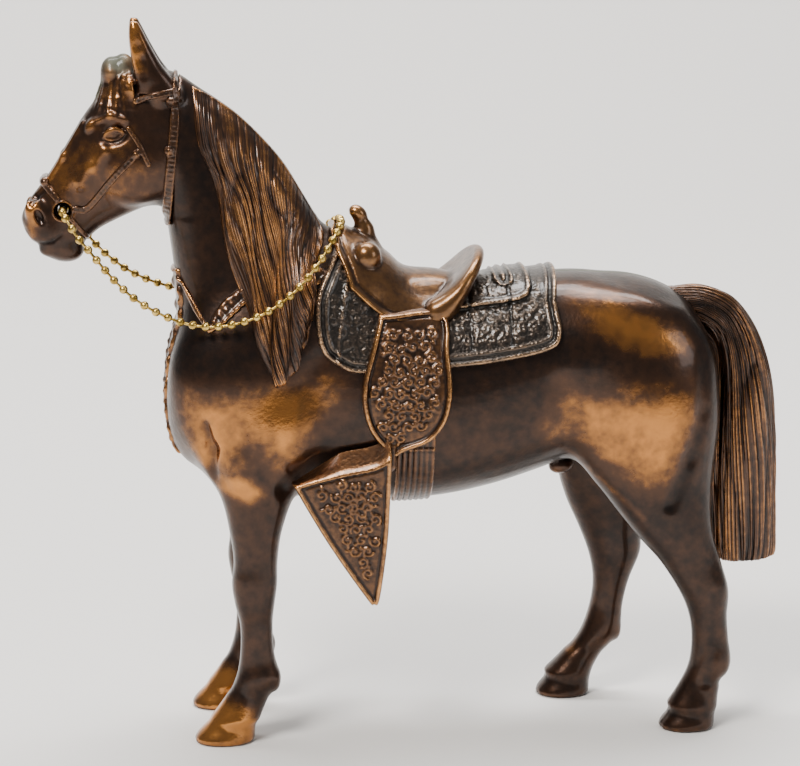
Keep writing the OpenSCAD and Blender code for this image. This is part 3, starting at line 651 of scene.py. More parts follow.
def rubbed_patina():
    """Shader group: dark patina, brown where it thins, bright metal where it is rubbed or polished, and where the
    polish input paints a highlight.
    """
    tree = bpy.data.node_groups.new("rubbed_patina", "ShaderNodeTree")
    for label, kind in (("Wear", "Float"), ("Polish and highlight", "Float"), ("Scale", "Float"), ("Dark", "Color"),
                        ("Brown", "Color"), ("Bright", "Color")):
        tree.interface.new_socket(label, in_out="INPUT", socket_type="NodeSocket" + kind)
    for label, kind in (("Colour", "Color"), ("Roughness", "Float")):
        tree.interface.new_socket(label, in_out="OUTPUT", socket_type="NodeSocket" + kind)
    given = tree.nodes.new("NodeGroupInput").outputs
    result = tree.nodes.new("NodeGroupOutput")
    place = node(tree, "ShaderNodeTexCoord").outputs["Object"]
    cloud = node(tree, "ShaderNodeTexNoise", {"Vector": place, "Scale": given["Scale"], "Detail": 4})
    finer = node(tree, "ShaderNodeMath", {0: given["Scale"], 1: 9.0}, operation="MULTIPLY")
    speck = node(tree, "ShaderNodeTexNoise", {"Vector": place, "Scale": finer.outputs[0], "Detail": 5})
    patch = node(tree, "ShaderNodeMath", {0: cloud.outputs["Fac"], 1: 0.5, 2: -0.25}, operation="MULTIPLY_ADD")
    dust = node(tree, "ShaderNodeMath", {0: speck.outputs["Fac"], 1: 0.8, 2: -0.4}, operation="MULTIPLY_ADD")
    uneven = node(tree, "ShaderNodeMath", {0: patch.outputs[0], 1: dust.outputs[0]}, operation="ADD")
    spots = node(tree, "ShaderNodeMapRange", {"Value": cloud.outputs["Fac"], "From Min": 0.3, "From Max": 0.62,
                                              "To Min": 0.6, "To Max": 1.2})
    # the polish input is buffed copper, and on the horse also a painted highlight along each thigh
    buffed_and_highlight = node(tree, "ShaderNodeMath", {0: given["Polish and highlight"], 1: spots.outputs[0]}, operation="MULTIPLY")
    bare = node(tree, "ShaderNodeMath", {0: given["Wear"], 1: buffed_and_highlight.outputs[0]}, operation="ADD")
    rub = node(tree, "ShaderNodeMath", {0: bare.outputs[0], 1: uneven.outputs[0]}, operation="ADD")
    thin = node(tree, "ShaderNodeMapRange", {"Value": rub.outputs[0], "From Min": -0.25, "From Max": 0.5},
                interpolation_type="SMOOTHSTEP")
    shine = node(tree, "ShaderNodeMapRange", {"Value": rub.outputs[0], "From Min": 0.32, "From Max": 1.15},
                 interpolation_type="SMOOTHSTEP")
    base = node(tree, "ShaderNodeMix", {0: thin.outputs[0], 6: given["Dark"], 7: given["Brown"]}, data_type="RGBA")
    final = node(tree, "ShaderNodeMix", {0: shine.outputs[0], 6: base.outputs[2], 7: given["Bright"]},
                 data_type="RGBA")
    rough = node(tree, "ShaderNodeMapRange", {"Value": rub.outputs[0], "From Min": -0.4, "From Max": 1.2,
                                              "To Min": 0.42, "To Max": 0.17})
    tree.links.new(final.outputs[2], result.inputs["Colour"])
    tree.links.new(rough.outputs[0], result.inputs["Roughness"])
    return tree


def casting_grain():
    """Shader group: a shallow pitted and brushed grain, as a height."""
    tree = bpy.data.node_groups.new("casting_grain", "ShaderNodeTree")
    tree.interface.new_socket("Scale", in_out="INPUT", socket_type="NodeSocketFloat")
    tree.interface.new_socket("Stipple", in_out="INPUT", socket_type="NodeSocketFloat")
    tree.interface.new_socket("Height", in_out="OUTPUT", socket_type="NodeSocketFloat")
    given = tree.nodes.new("NodeGroupInput").outputs
    result = tree.nodes.new("NodeGroupOutput")
    place = node(tree, "ShaderNodeTexCoord").outputs["Object"]
    slow = node(tree, "ShaderNodeTexNoise", {"Vector": place, "Scale": given["Scale"], "Detail": 6})
    pits = node(tree, "ShaderNodeTexVoronoi", {"Vector": place, "Scale": 1150})
    dent = node(tree, "ShaderNodeMath", {0: pits.outputs["Distance"], 1: given["Stipple"]}, operation="MULTIPLY")
    both = node(tree, "ShaderNodeMath", {0: slow.outputs["Fac"], 1: dent.outputs[0]}, operation="ADD")
    tree.links.new(both.outputs[0], result.inputs["Height"])
    return tree


RUBBED, GRAIN = rubbed_patina(), casting_grain()


def patina(name, dark, brown, bright, cloud=60.0, gain=1.0, lift=0.0, stipple=0.0, depth=0.00012, coat=0.5,
           seam=False):
    """A lacquered copper plate with patina; gain scales the wear, lift brightens all of it."""
    material = bpy.data.materials.new(name)
    material.use_nodes = True
    tree = material.node_tree
    shader = tree.nodes["Principled BSDF"]
    wear = node(tree, "ShaderNodeAttribute", attribute_name="wear")
    shown = node(tree, "ShaderNodeMath", {0: wear.outputs["Fac"], 1: gain, 2: lift}, operation="MULTIPLY_ADD")
    # the polish mark: buffed copper patches, and on the horse a painted highlight along the front edge of each
    # thigh
    shine = node(tree, "ShaderNodeAttribute", attribute_name="polish")
    skin = node(tree, "ShaderNodeGroup", {"Wear": shown.outputs[0], "Polish and highlight": shine.outputs["Fac"], "Scale": cloud,
                                          "Dark": (*dark, 1), "Brown": (*brown, 1), "Bright": (*bright, 1)},
                node_tree=RUBBED)
    colour = skin.outputs["Colour"]
    if seam:
        grime = node(tree, "ShaderNodeAttribute", attribute_name="grime")
        mixed = node(tree, "ShaderNodeMix", {0: grime.outputs["Fac"], 6: colour, 7: (0.12, 0.125, 0.095, 1)},
                     data_type="RGBA")
        colour = mixed.outputs[2]
    grain = node(tree, "ShaderNodeGroup", {"Scale": 900.0, "Stipple": stipple}, node_tree=GRAIN)
    bump = node(tree, "ShaderNodeBump", {"Height": grain.outputs[0], "Distance": depth, "Strength": 0.6})
    tree.links.new(colour, shader.inputs["Base Color"])
    rough = skin.outputs["Roughness"]
    if seam:
        rough = node(tree, "ShaderNodeMath", {0: grime.outputs["Fac"], 1: 0.5, 2: rough},
                     operation="MULTIPLY_ADD").outputs[0]
    tree.links.new(rough, shader.inputs["Roughness"])
    tree.links.new(bump.outputs[0], shader.inputs["Normal"])
    shader.inputs["Metallic"].default_value = 0.9
    shader.inputs["Coat Weight"].default_value = coat
    shader.inputs["Coat Roughness"].default_value = 0.12
    return material


bronze = patina("patina_bronze", (0.014, 0.0095, 0.008), (0.06, 0.028, 0.015), (0.47, 0.19, 0.042), cloud=38,
                gain=0.4, coat=0.3, seam=True)


def centred(low, high, step):
    """A block of wax whose middle layer of cells straddles the horse's middle."""
    half = (math.ceil(high[1] / step) + 0.5) * step
    return Wax((low[0], -half, low[2]), (high[0], half, high[2]), step)


wax_body = centred((-110, -34, -2), (94, 34, 193), BODY_STEP)
horse_wax(wax_body)
wax_head = centred((-109, -16, 130), (-56, 16, 206), HEAD_STEP)
horse_wax(wax_head)
trunk_skin, head_skin = wax_body.d.copy(), wax_head.d.copy()
x, _, z = wax_body.places()
wax_body.keep(head_side(x, z).astype(np.float32))
x, y, z = wax_head.places()
wax_head.keep(-head_side(x, z).astype(np.float32))
hole_radius = np.where(np.abs(y) < 3.6, BIT_R_INSIDE, BIT_R)
mouth_hole = (np.hypot(x - BIT_X, z - BIT_Z) - hole_radius).astype(np.float32)
wax_head.d = soft_both(wax_head.d, -mouth_hole, 0.4)


def half_casting(name, parts, side, material):
    """One half of the skins in parts, closed along the middle; side is -1 for the left."""
    shape = bmesh.new()
    layers = [shape.verts.layers.float.new(label) for label in ("wear", "polish", "grime")]
    for points, quads, step, marks in parts:
        points = points.copy()
        points[np.abs(points[:, 1]) <= step / 2 + 1e-3, 1] = 0
        y = points[quads][:, :, 1] * side
        mine = quads[(y >= 0).all(1) & (y > 0).any(1)]
        used = np.unique(mine)
        corner = {}
        for i in used.tolist():
            corner[i] = shape.verts.new(points[i] * MM)
            for layer, values in zip(layers, marks):
                corner[i][layer] = values[i]
        for quad in mine.tolist():
            face = shape.faces.new([corner[i] for i in quad])
            face.smooth = True
        rim = [edge for edge in shape.edges if edge.is_boundary]
        for edge in rim:
            edge.smooth = False
        bmesh.ops.triangle_fill(shape, edges=rim, use_beauty=True, normal=(0, -side, 0))
    bmesh.ops.recalc_face_normals(shape, faces=shape.faces)
    mesh = bpy.data.meshes.new(name)
    shape.to_mesh(mesh)
    shape.free()
    mesh.materials.append(material)
    piece = bpy.data.objects.new(name, mesh)
    bpy.context.scene.collection.objects.link(piece)
    return piece


skins = []
for wax in (wax_body, wax_head):
    points, quads = wax.skin()
    stand = 1.6 * proud(points, quads, round(5.5 / wax.step ** 2))
    skins.append((points, quads, wax.step, (stand, polish(points), seam_grime(points))))
for name, side, cad_name in (("body_left_casting", -1, "body_left"), ("body_right_casting", 1, "body_right")):
    half = half_casting(name, skins, side, bronze)
    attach(half, "horse")
    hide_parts(cad_name)

# ---------------------------------------------------------------------------------------------
# Mane and tail: cast hair in long waved strands, rubbed bright on the ridges. The mane is raised on
# the neck. The tail is a piece of its own, set against the rump, with a darker lock in front.
MANE_STRANDS = [  # side view, root to tip, from the poll back to the withers
    [(-59, 182), (-58.2, 168), (-53.8, 157), (-51, 142.6), (-47.5, 127), (-44.2, 116), (-37.3, 102.4)],
    [(-53.3, 178.8), (-52.4, 166), (-48, 154), (-45.5, 140), (-42, 126), (-39.6, 115), (-36.5, 102.4)],
    [(-45, 172.4), (-43.6, 160), (-41, 149), (-39, 137), (-37, 125), (-35.4, 114), (-35, 104.2)],
    [(-35.2, 161.6), (-35.4, 152), (-35, 144), (-34.2, 135), (-33, 125), (-32.2, 117), (-32.4, 108.6)],
    [(-26.8, 147.8), (-27.6, 141), (-29, 135), (-29.2, 130), (-29, 125), (-29.2, 120), (-29.4, 114)],
    [(-23.6, 141.8), (-24.6, 138), (-25.8, 134), (-26.4, 131), (-27, 127.5), (-27.4, 124), (-27.4, 120)]]
TAIL = [  # outer x, z, inner x, z, half width
    (70, 124.2, 73.5, 114, 3.6), (76.5, 124.6, 78.5, 115, 5), (84, 124.4, 83, 113.2, 6.4),
    (92.2, 121, 86.6, 109.6, 7.4), (99.2, 112, 88.6, 102, 8), (103.6, 99.5, 88.6, 93, 8.4),
    (105.4, 84, 88, 81, 8.6), (105.9, 68, 87.4, 67, 8.6), (106, 48, 88.4, 46.6, 8), (104.4, 46.2, 90, 45.4, 6)]
TAIL_UNDER = [(78, 118, 82, 110, 2.6), (88, 109, 80, 104, 4), (89.6, 98, 81, 94, 4.8), (90, 80, 81.4, 80, 5),
              (90, 64, 81.4, 63, 4.8), (90, 50, 82, 48.4, 4.2), (89, 47.4, 83.4, 46.6, 3)]


def hair(u, v, locks, seed):
    """Height of waved hair, 0 to 1: u runs across the strands, v along them."""
    dice = np.random.default_rng(seed)

    def drift(rate):
        return sum(dice.uniform(0.4, 1) / k
                   * np.sin(2 * np.pi * (k * rate * v + dice.random() + u * dice.integers(1, 6)))
                   for k in (1, 2, 3))

    height = 0
    for count, share, sway in ((locks, 0.4, 0.6), (locks * 3, 0.34, 0.6), (locks * 8, 0.26, 0.5)):
        ridge = np.abs(np.cos(np.pi * (u * count + sway * drift(0.8)))) ** 0.75
        height = height + share * ridge * np.clip(0.75 + 0.35 * drift(0.6), 0.25, 1.2)
    return height


def closed_sheet(name, outer, inner, material, lift):
    """A sheet of outer and inner points, joined round its edge and closed."""
    rows, cols = outer.shape[:2]
    verts = np.vstack([outer.reshape(-1, 3), inner.reshape(-1, 3)])
    i = (np.arange(rows - 1)[:, None] * cols + np.arange(cols - 1)).ravel()
    face = np.stack([i + cols, i + cols + 1, i + 1, i], 1)
    size = rows * cols
    edge = np.concatenate([np.arange(cols), (np.arange(1, rows) + 1) * cols - 1,
                           (rows - 1) * cols + np.arange(cols - 1)[::-1], np.arange(rows - 2, 0, -1) * cols])
    after = np.roll(edge, -1)
    quads = np.vstack([face, face[:, ::-1] + size, np.stack([edge, after, after + size, edge + size], 1)])
    piece = new_piece(name, verts, quads.tolist(), material)
    stand = proud(verts, quads, 10)
    stand[size:] = -0.4
    mark(piece, wear=stand * 1.3 + np.concatenate([lift.ravel(), np.zeros(size)]), polish=np.zeros(2 * size))
    return piece


hair_bronze = patina("hair_bronze", (0.016, 0.01, 0.008), (0.085, 0.038, 0.018), (0.6, 0.26, 0.075), cloud=55,
                     lift=0.02)

skin_tree = BVHTree.FromPolygons(skins[0][0].tolist(), skins[0][1].tolist())
head_tree = BVHTree.FromPolygons(skins[1][0].tolist(), skins[1][1].tolist())


def side_of_horse(x, z, side):
    """How far out the horse's skin is at a place of the side view."""
    found = 0.0
    for tree in (skin_tree, head_tree):
        hit = tree.ray_cast(Vector((x, side * 60, z)), Vector((0, -side, 0)))[0]
        if hit is not None:
            found = max(found, side * hit.y)
    return found


def mane_sheet(side, across=230, along=150):
    """The mane on one side of the neck, as outer points, inner points and height."""
    strands = np.array([through(strand, 12) for strand in MANE_STRANDS])
    strands = np.array([through(strands[:, i], 10) for i in range(strands.shape[1])]).transpose(1, 0, 2)
    u, v = np.meshgrid(np.linspace(0, 1, across), np.linspace(0, 1, along), indexing="ij")
    fu, fv = u * (strands.shape[0] - 1), v * (strands.shape[1] - 1)
    iu, iv = np.minimum(fu.astype(int), strands.shape[0] - 2), np.minimum(fv.astype(int), strands.shape[1] - 2)
    du, dv = (fu - iu)[..., None], (fv - iv)[..., None]
    flat = ((strands[iu, iv] * (1 - dv) + strands[iu, iv + 1] * dv) * (1 - du)
            + (strands[iu + 1, iv] * (1 - dv) + strands[iu + 1, iv + 1] * dv) * du)
    curl = v * (np.sin(2 * np.pi * (1.6 * v + 1.3 * u)) + 0.6 * np.sin(2 * np.pi * (3.1 * v + 4 * u)))
    flat[..., 0] += curl
    coarse = np.array([[side_of_horse(*flat[i, j], side) for j in range(0, along, 3)]
                       for i in range(0, across, 3)])
    depth = np.array([np.interp(np.arange(along), np.arange(0, along, 3), row) for row in coarse])
    depth = np.array([np.interp(np.arange(across), np.arange(0, across, 3), col) for col in depth.T]).T
    for _ in range(10):
        depth = (np.pad(depth, 1, mode="edge")[1:-1, :-2] + np.pad(depth, 1, mode="edge")[1:-1, 2:]
                 + np.pad(depth, 1, mode="edge")[:-2, 1:-1] + np.pad(depth, 1, mode="edge")[2:, 1:-1]) / 4
    height = hair(u, v, 6, 11)
    edge = np.minimum(1, np.minimum(u * 14, (1 - u) * 18)) ** 0.6 * np.minimum(1, (1 - v) * 22) ** 0.5
    thick = 0.1 + 1.5 * np.sin(np.pi * np.clip(v, 0, 0.94)) ** 0.7 * (1 - 0.5 * u)
    lift = edge * (thick + 1.4 * np.minimum(1, 0.35 + 5 * v) * height)
    outer = np.stack([flat[..., 0], side * (depth + lift), flat[..., 1]], 2)
    inner = np.stack([flat[..., 0], side * np.maximum(depth - 1.2, 0.2), flat[..., 1]], 2)
    return outer, inner, 1.1 * (height - 0.4) + 0.3 * np.sin(np.pi * v)


outer, inner, height = mane_sheet(-1)
mane = closed_sheet("mane_left_side", outer[::-1], inner[::-1], hair_bronze, height[::-1])
outer, inner, height = mane_sheet(1, 120, 90)
mane_back = closed_sheet("mane_right_side", outer, inner, hair_bronze, height)


def tail_piece(name, stations, locks, around=300, along=170):
    """The tail as one closed loft with strands running down it."""
    rows = through(stations, 24)
    rows = rows[np.linspace(0, len(rows) - 1, along).round().astype(int)]
    v, u = np.meshgrid(np.linspace(0, 1, along), np.arange(around) / around, indexing="ij")
    height = hair(u, v, locks, 5)
    angle = 2 * np.pi * u + 0.16 * np.sin(2 * np.pi * 1.5 * v)
    swell = 1 + (0.28 * height - 0.22) * np.minimum(1, 0.25 + 6 * v)
    middle, half = (rows[:, 0:2] + rows[:, 2:4]) / 2, (rows[:, 0:2] - rows[:, 2:4]) / 2
    x = middle[:, :1] + half[:, :1] * np.cos(angle) * swell
    z = middle[:, 1:] + half[:, 1:] * np.cos(angle) * swell
    y = rows[:, 4:5] * np.sin(angle) * swell
    z = z - (v > 0.97) * 1.2 * height * (v - 0.97) / 0.03
    ends = rows[[0, -1]]
    ends = np.c_[(ends[:, 0] + ends[:, 2]) / 2, [0, 0], (ends[:, 1] + ends[:, 3]) / 2]
    verts = np.vstack([np.stack([x, y, z], 2).reshape(-1, 3), ends])
    quads = ring_faces(along, around)[:, ::-1]
    top, bottom = along * around, along * around + 1
    a, last = np.arange(around), (along - 1) * around
    after = (a + 1) % around
    caps = np.vstack([np.c_[a, after, np.full(around, top)],
                      np.c_[after + last, a + last, np.full(around, bottom)]])
    piece = new_piece(name, verts, quads.tolist() + caps.tolist(), hair_bronze)
    stand = np.concatenate([proud(verts[:-2], quads, 10) * 1.3 + 1.1 * (height.ravel() - 0.4), [0, 0]])
    mark(piece, wear=stand, polish=np.zeros(len(verts)))
    return piece


tail = tail_piece("tail_cast", TAIL, 7)
tail_under = tail_piece("tail_under_lock", TAIL_UNDER, 4, 160, 120)
for piece in (mane, mane_back, tail, tail_under):
    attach(piece, "horse")
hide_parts("tail")

# ---------------------------------------------------------------------------------------------
# Saddle blanket and skirts: leather-like sheets modelled on the same casting, tooled and rimmed,
# with a rear jockey and a round concho on each side.
SKIRT = [(-17, 146), (-24.4, 132), (-26.8, 126), (-27, 118), (-25.4, 111.4), (-20.8, 107.6), (-14, 105.6),
         (8.6, 106.8), (23, 108.4), (36.8, 111.4), (40, 116), (39.2, 124), (38.2, 146)]
JOCKEY = [(10.6, 121.4), (18, 122.4), (31.6, 125.2), (31, 134), (20.5, 133), (13, 129)]
SKIRT_T = 1.6


def close_up(low, high, step):
    """A finer, empty block over part of the trunk, the trunk's skin on it, and its places."""
    part, d = Wax(low, high, step), trunk_skin
    for axis in range(3):
        at = (part.low[axis] + step * np.arange(part.shape[axis]) - wax_body.low[axis]) / wax_body.step
        first = np.clip(at.astype(int), 0, d.shape[axis] - 2)
        share = (at - first).astype(np.float32).reshape([-1 if axis == i else 1 for i in range(3)])
        d = np.take(d, first, axis) * (1 - share) + np.take(d, first + 1, axis) * share
    return part, d, part.places()


def sheet(skin, gap, thick, soft=0.5, sink=0.7):
    """Distance to a sheet laid on skin inside gap, thick above it and sunk a little into it."""
    return np.maximum(soft_both(skin - thick, gap, soft), -(skin + sink)).astype(np.float32)


def waxed_piece(name, wax, material, rounds=14):
    """The skin of a block of wax as a piece, marked with its wear."""
    points, quads = wax.skin()
    piece = new_piece(name, points, quads.tolist(), material)
    mark(piece, wear=2 * proud(points, quads, rounds), polish=np.zeros(len(points)))
    return piece


def scroll(centre, radius, start, turns):
    """A spiral line; a negative turns winds the other way."""
    t = np.linspace(0, 1, 20)
    a = math.radians(start) + 2 * np.pi * turns * t
    r = radius * (1 - 0.84 * t)
    return np.c_[centre[0] + r * np.cos(a), centre[1] + r * np.sin(a)]


def tooling(outline, spacing, inset, seed):
    """Small scrolls and leaves that fill an outline, set out like a saddler's stamping."""
    dice = np.random.default_rng(seed)
    low, high = np.min(outline, 0), np.max(outline, 0)
    lines = []
    for row, z in enumerate(np.arange(low[1], high[1], spacing * 0.87)):
        for x in np.arange(low[0] + spacing * (row % 2) / 2, high[0], spacing):
            spot = np.array([x, z]) + dice.uniform(-0.12, 0.12, 2) * spacing
            if outline_gap(spot[:1], spot[1:], outline)[0] > -inset - spacing * 0.42:
                continue
            start = dice.uniform(0, 360)
            lines.append(scroll(spot, spacing * 0.46, start, 1.15 * (-1) ** (row + len(lines))))
            a = math.radians(start + 180)
            tip = spot + spacing * 0.62 * np.array([math.cos(a), math.sin(a)])
            lines.append([tuple(spot + (tip - spot) * 0.62), tuple(tip)])
    return lines


def blossom(centre, radius, petals):
    """The outline of a flower."""
    a = np.linspace(0, 2 * np.pi, 36)
    r = radius * (0.5 + 0.5 * np.abs(np.cos(petals * a / 2)))
    return np.c_[centre[0] + r * np.cos(a), centre[1] + r * np.sin(a)]


tack_grey = patina("tooled_tack", (0.024, 0.02, 0.017), (0.085, 0.062, 0.046), (0.48, 0.28, 0.14), cloud=90,
                   stipple=0.9, depth=0.00025, coat=0.4)
tack_copper = patina("tooled_copper", (0.026, 0.014, 0.009), (0.145, 0.065, 0.026), (0.6, 0.28, 0.085), cloud=90,
                     lift=0.12, stipple=0.4, depth=0.0002, coat=0.4)
strap_bronze = patina("strap_bronze", (0.02, 0.013, 0.01), (0.1, 0.045, 0.021), (0.5, 0.22, 0.06), cloud=60,
                      gain=0.75, lift=0.06)

wax, skin, (x, y, z) = close_up((-29, -27.4, 103), (42, 27.4, 142), 0.42)
gap = outline_gap(x, z, SKIRT)
rear = outline_gap(x, z, JOCKEY)
vine = tooling(SKIRT, 3.3, 3.4, 3)
relief = 0.55 * hump(gap + 0.9, 0.8) + 0.42 * hump(gap + 3, 0.7) - 0.3 * hump(gap + 1.95, 0.5)
relief += np.where((gap < -3.8) & (rear > 0.6), 0.34 * hump(line_gap(x, z, vine), 0.55), 0)
relief += np.where(rear < -2, 0.3 * hump(line_gap(x, z, tooling(JOCKEY, 2.8, 1.6, 8)), 0.5), 0)
relief -= np.where(gap < -3.6, 0.45 * hump(np.minimum(np.abs(x - 15.4), np.abs(x - 26.4)), 0.7), 0)
relief += 0.5 * hump(line_gap(x, z, [[(-18.2, 130), (-19.8, 122), (-21, 114), (-21, 108.6)]]), 0.8)
relief += 1.1 * np.clip(0.5 - rear / 0.7, 0, 1) + 0.45 * hump(rear + 1, 0.8)
concho = np.hypot(x - 25.4, (z - 129.6) * 1.15)
relief += 0.9 * hump(concho, 1.7) + 0.7 * hump(concho - 2.2, 0.6)
wax.d = sheet(skin, gap, SKIRT_T + relief)
skirt = waxed_piece("saddle_skirt_tooled", wax, tack_grey)

# ---------------------------------------------------------------------------------------------
# Saddle seat: the dished seat with its swell fork, horn and rolled cantle, cast solid on the skirts.
# It is smoother and more coppery than the leather round it.
SEAT = [(-17.6, 128.4), (-11.4, 122.6), (-6.4, 119.6), (1, 118.6), (8.2, 119.4), (11, 122.4), (12.2, 128.6),
        (22.6, 134), (22, 146), (-19.4, 146)]
seat_copper = patina("seat_copper", (0.034, 0.018, 0.011), (0.165, 0.076, 0.026), (0.54, 0.25, 0.07),
                     cloud=60, gain=0.7, lift=0.12, coat=0.4)
wax, skin, (x, y, z) = close_up((-22, -27, 115), (26, 27, 152), 0.38)
gap = outline_gap(x, z, SEAT)
wax.d = sheet(skin, gap, 2.5 + 0.6 * hump(gap + 0.9, 0.9) - 0.35 * hump(gap + 2.2, 0.6), 0.7)
wax.knob((2, 0, 124.4), (16, 10, 6.4), 2.5)                                      # stuffed seat
wax.knob((-14.4, 0, 135.4), (4.6, 8.4, 5.6), 2)                                  # pommel
wax.rod((-12.6, -8.4, 135.6), (-12.6, 8.4, 135.6), 3.7, 3.7, 1.6)                # fork
for side in (-1, 1):
    wax.knob((-12.4, side * 10.2, 135.8), (4, 4, 4.2), 0.8)                      # swells
wax.trail([(-11.2, 0, 137), (-12, 0, 141.6), (-13.4, 0, 145)], [3.2, 2.1, 1.9], 1.8)    # horn
wax.knob((-14, 0, 146.4), (2.7, 2.3, 2), 0.8, -35)
bend = np.linspace(-1.7, 1.7, 61)
rim = [(19.4 - 9 * (1 - math.cos(b)), 16.4 * math.sin(b), 123.8 + 11.4 * math.cos(b)) for b in bend]
foot = [(13 - 6 * (1 - math.cos(b)), 15.2 * math.sin(b), 121.4 + 3.6 * math.cos(b)) for b in bend]
for top, low in zip(rim, foot):
    wax.rod(low, top, 3, 1.05, 1.4)
wax.trail(rim, [1.25] * 61, 0.5)                                                  # rolled cantle rim
wax.keep(-(skin + 1.0))
over_withers = rein_line[108:157:3]
wax.trail(over_withers, [1.7] * len(over_withers), 0.3, cut=True)                # room for the reins
seat = waxed_piece("saddle_seat_and_horn", wax, seat_copper)

# ---------------------------------------------------------------------------------------------
# Fenders and stirrup covers: tooled leather shapes, cast solid, one pair on each side. The fender lies
# on the belly, and the wedge-shaped cover hangs from it by a stub of strap, turned a little outwards.
FENDER = [(-9.8, 121.5), (-12.4, 112), (-14.6, 104), (-14.8, 97), (-12.8, 90), (-8.6, 84.4), (-6.6, 82.4),
          (-3.2, 84.4), (3.6, 87.2), (8, 93), (9.6, 101), (9, 111), (7.8, 121.5)]
COVER = [(-8, 84), (-12.4, 81.6), (-21.4, 79.6), (-32.6, 76), (-33, 74), (-24.2, 58.6), (-13.8, 43.2),
         (-12.2, 42.2), (-10.6, 43.4), (-8.4, 59), (-7.6, 72), (-7.2, 83)]
COVER_TURN = math.radians(8)
for side, label in ((-1, "left"), (1, "right")):
    wax, skin, (x, y, z) = close_up((-17, -30 if side < 0 else 12, 80),
                                    (12, -12 if side < 0 else 30, 124), 0.36)
    gap = outline_gap(x, z, FENDER)
    vine = tooling(FENDER, 3.5, 1.9, 21)
    relief = 0.75 * hump(gap + 0.8, 0.95) - 0.3 * hump(gap + 1.9, 0.5)
    relief += np.where(gap < -2.2, 0.5 * hump(line_gap(x, z, vine), 0.58), 0)
    wax.d = sheet(skin, gap, 3.2 + relief, 0.6, -0.6)
    fender = waxed_piece("fender_" + label + "_tooled", wax, tack_copper)
    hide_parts("fender_" + label)

    wax = Wax((-35, -31 if side < 0 else 17, 40), (-5, -17 if side < 0 else 31, 91), 0.34)
    x, y, z = wax.places()
    off = (side * y - 26.4) * math.cos(COVER_TURN) - (x + 8) * math.sin(COVER_TURN)
    rise = 0.85 * (2.6 - off) * np.clip((x + 33) / 12, 0, 1)
    gap = outline_gap(x, z - rise * np.clip((z - 62) / 12, 0, 1), COVER)
    vine = tooling(COVER, 3.5, 1.8, 5) + [blossom((-16, 70), 3, 5)]
    relief = 0.6 * hump(gap + 0.8, 0.9) - 0.25 * hump(gap + 1.8, 0.5)
    relief += np.where(gap < -2.1, 0.5 * hump(line_gap(x, z, vine), 0.58), 0)
    wax.d = soft_both(soft_both(off - 2.6 - relief, -off - 2.8, 0.3), gap, 0.9).astype(np.float32)
    wax.rod((-7.6, side * 24.6, 80.6), (-7, side * 24, 85.4), 1.9, 1.7, 1.0)             # strap stub to the fender
    cover = waxed_piece("stirrup_cover_" + label, wax, tack_copper)
    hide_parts("stirrup_" + label)
    for piece in (fender, cover):
        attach(piece, "horse")

# ---------------------------------------------------------------------------------------------
# Cinch: a band of upright cords round the belly, raised a little from the casting, with a plain
# buckle high on each side.
wax, skin, (x, y, z) = close_up((-7.4, -27, 58), (7.2, 27, 95), 0.38)
gap = soft_both(np.abs(x + 0.1) - 5.4 + 0 * z, z - 93 + 0 * x, 0.4) + 0 * y
cord = np.abs(np.cos(np.pi * (x + 0.1) / 1.56))
buckle = np.maximum(np.abs(x + 0.1) - 5.6, np.abs(z - 86) - 1.8)
wax.d = sheet(skin, gap, 0.25 + 0.6 * cord ** 0.7 + 0.4 * hump(np.abs(buckle), 0.8))
cinch = waxed_piece("cinch_cords", wax, strap_bronze)

# ---------------------------------------------------------------------------------------------
# Breast collar: a tooled strip from the saddle to the front of the neck, and a plate with scalloped
# edges and round bosses down the chest, both raised from the casting.
COLLAR = [(-70, 133.8), (-62.8, 129.6), (-56.6, 119.4), (-54.6, 122), (-46.6, 129.4), (-25.6, 134),
          (-25.6, 129.4), (-46, 124.6), (-56, 116.6), (-63.4, 128.6), (-70, 131.6)]
wax, skin, (x, y, z) = close_up((-72, -24, 78), (-24, 24, 140), 0.42)
gap = outline_gap(x, z, COLLAR, 2) + 0 * y
scallop = 0.9 * np.abs(np.sin(np.pi * z / 6.4)) ** 0.6
plate = np.maximum(np.maximum(np.abs(y) - 5.8 - scallop, z - 132.6), np.maximum(80.6 - z, x + 54))
gap = np.minimum(gap, plate)
weave = 0.35 * np.abs(np.sin(np.pi * (x + z) / 3.2)) * np.abs(np.sin(np.pi * (x - z) / 3.2))
disc = np.sqrt(y ** 2 + ((z + 3.2) % 6.4 - 3.2) ** 2) + 0 * x
relief = 0.22 * hump(gap + 0.7, 0.7) + np.where(plate < -1.6, 0.65 * hump(disc, 2.1), weave)
relief = np.where((x < -57.4) & (plate > 1), 0.1, relief)
wax.d = sheet(skin, gap, 0.45 + relief, 0.5)
collar = waxed_piece("breast_collar_scalloped", wax, strap_bronze)

# ---------------------------------------------------------------------------------------------
# Bridle: narrow straps cast on the head, with small buttons where they meet and a low ring round the
# bit hole. The throatlatch covers the join between the head and the neck.
STRAPS = [  # route in the side view, half width
    ([(-74, 165.2), (-80.4, 158.6), (-87.6, 149.8), (-91, 149.4)], 1.0),
    ([(-76.4, 171.6), (-73.6, 167.2), (-71.2, 161.8)], 0.7),
    ([(-102.4, 160), (-98.8, 155.4), (-96.2, 152.4)], 0.95), ([(-92.4, 146.6), (-88.2, 141.4)], 0.7),
    ([(-74.2, 178.8), (-70, 180.2), (-63.2, 181.6)], 0.9), ([(-62.2, 189), (-63.1, 181.6), (-66.9, 145.4)], 1.35)]
BUTTONS = [(-64.4, 178.4, 1.9), (-65.6, 165.4, 1.5), (-99.8, 157, 1.6), (-74.4, 164.6, 1.3)]
wax = centred((-109, -16, 130), (-56, 16, 206), HEAD_STEP)
x, y, z = wax.places()
gap = np.full((wax.shape[0], 1, wax.shape[2]), 99.0)
along = np.zeros_like(gap)
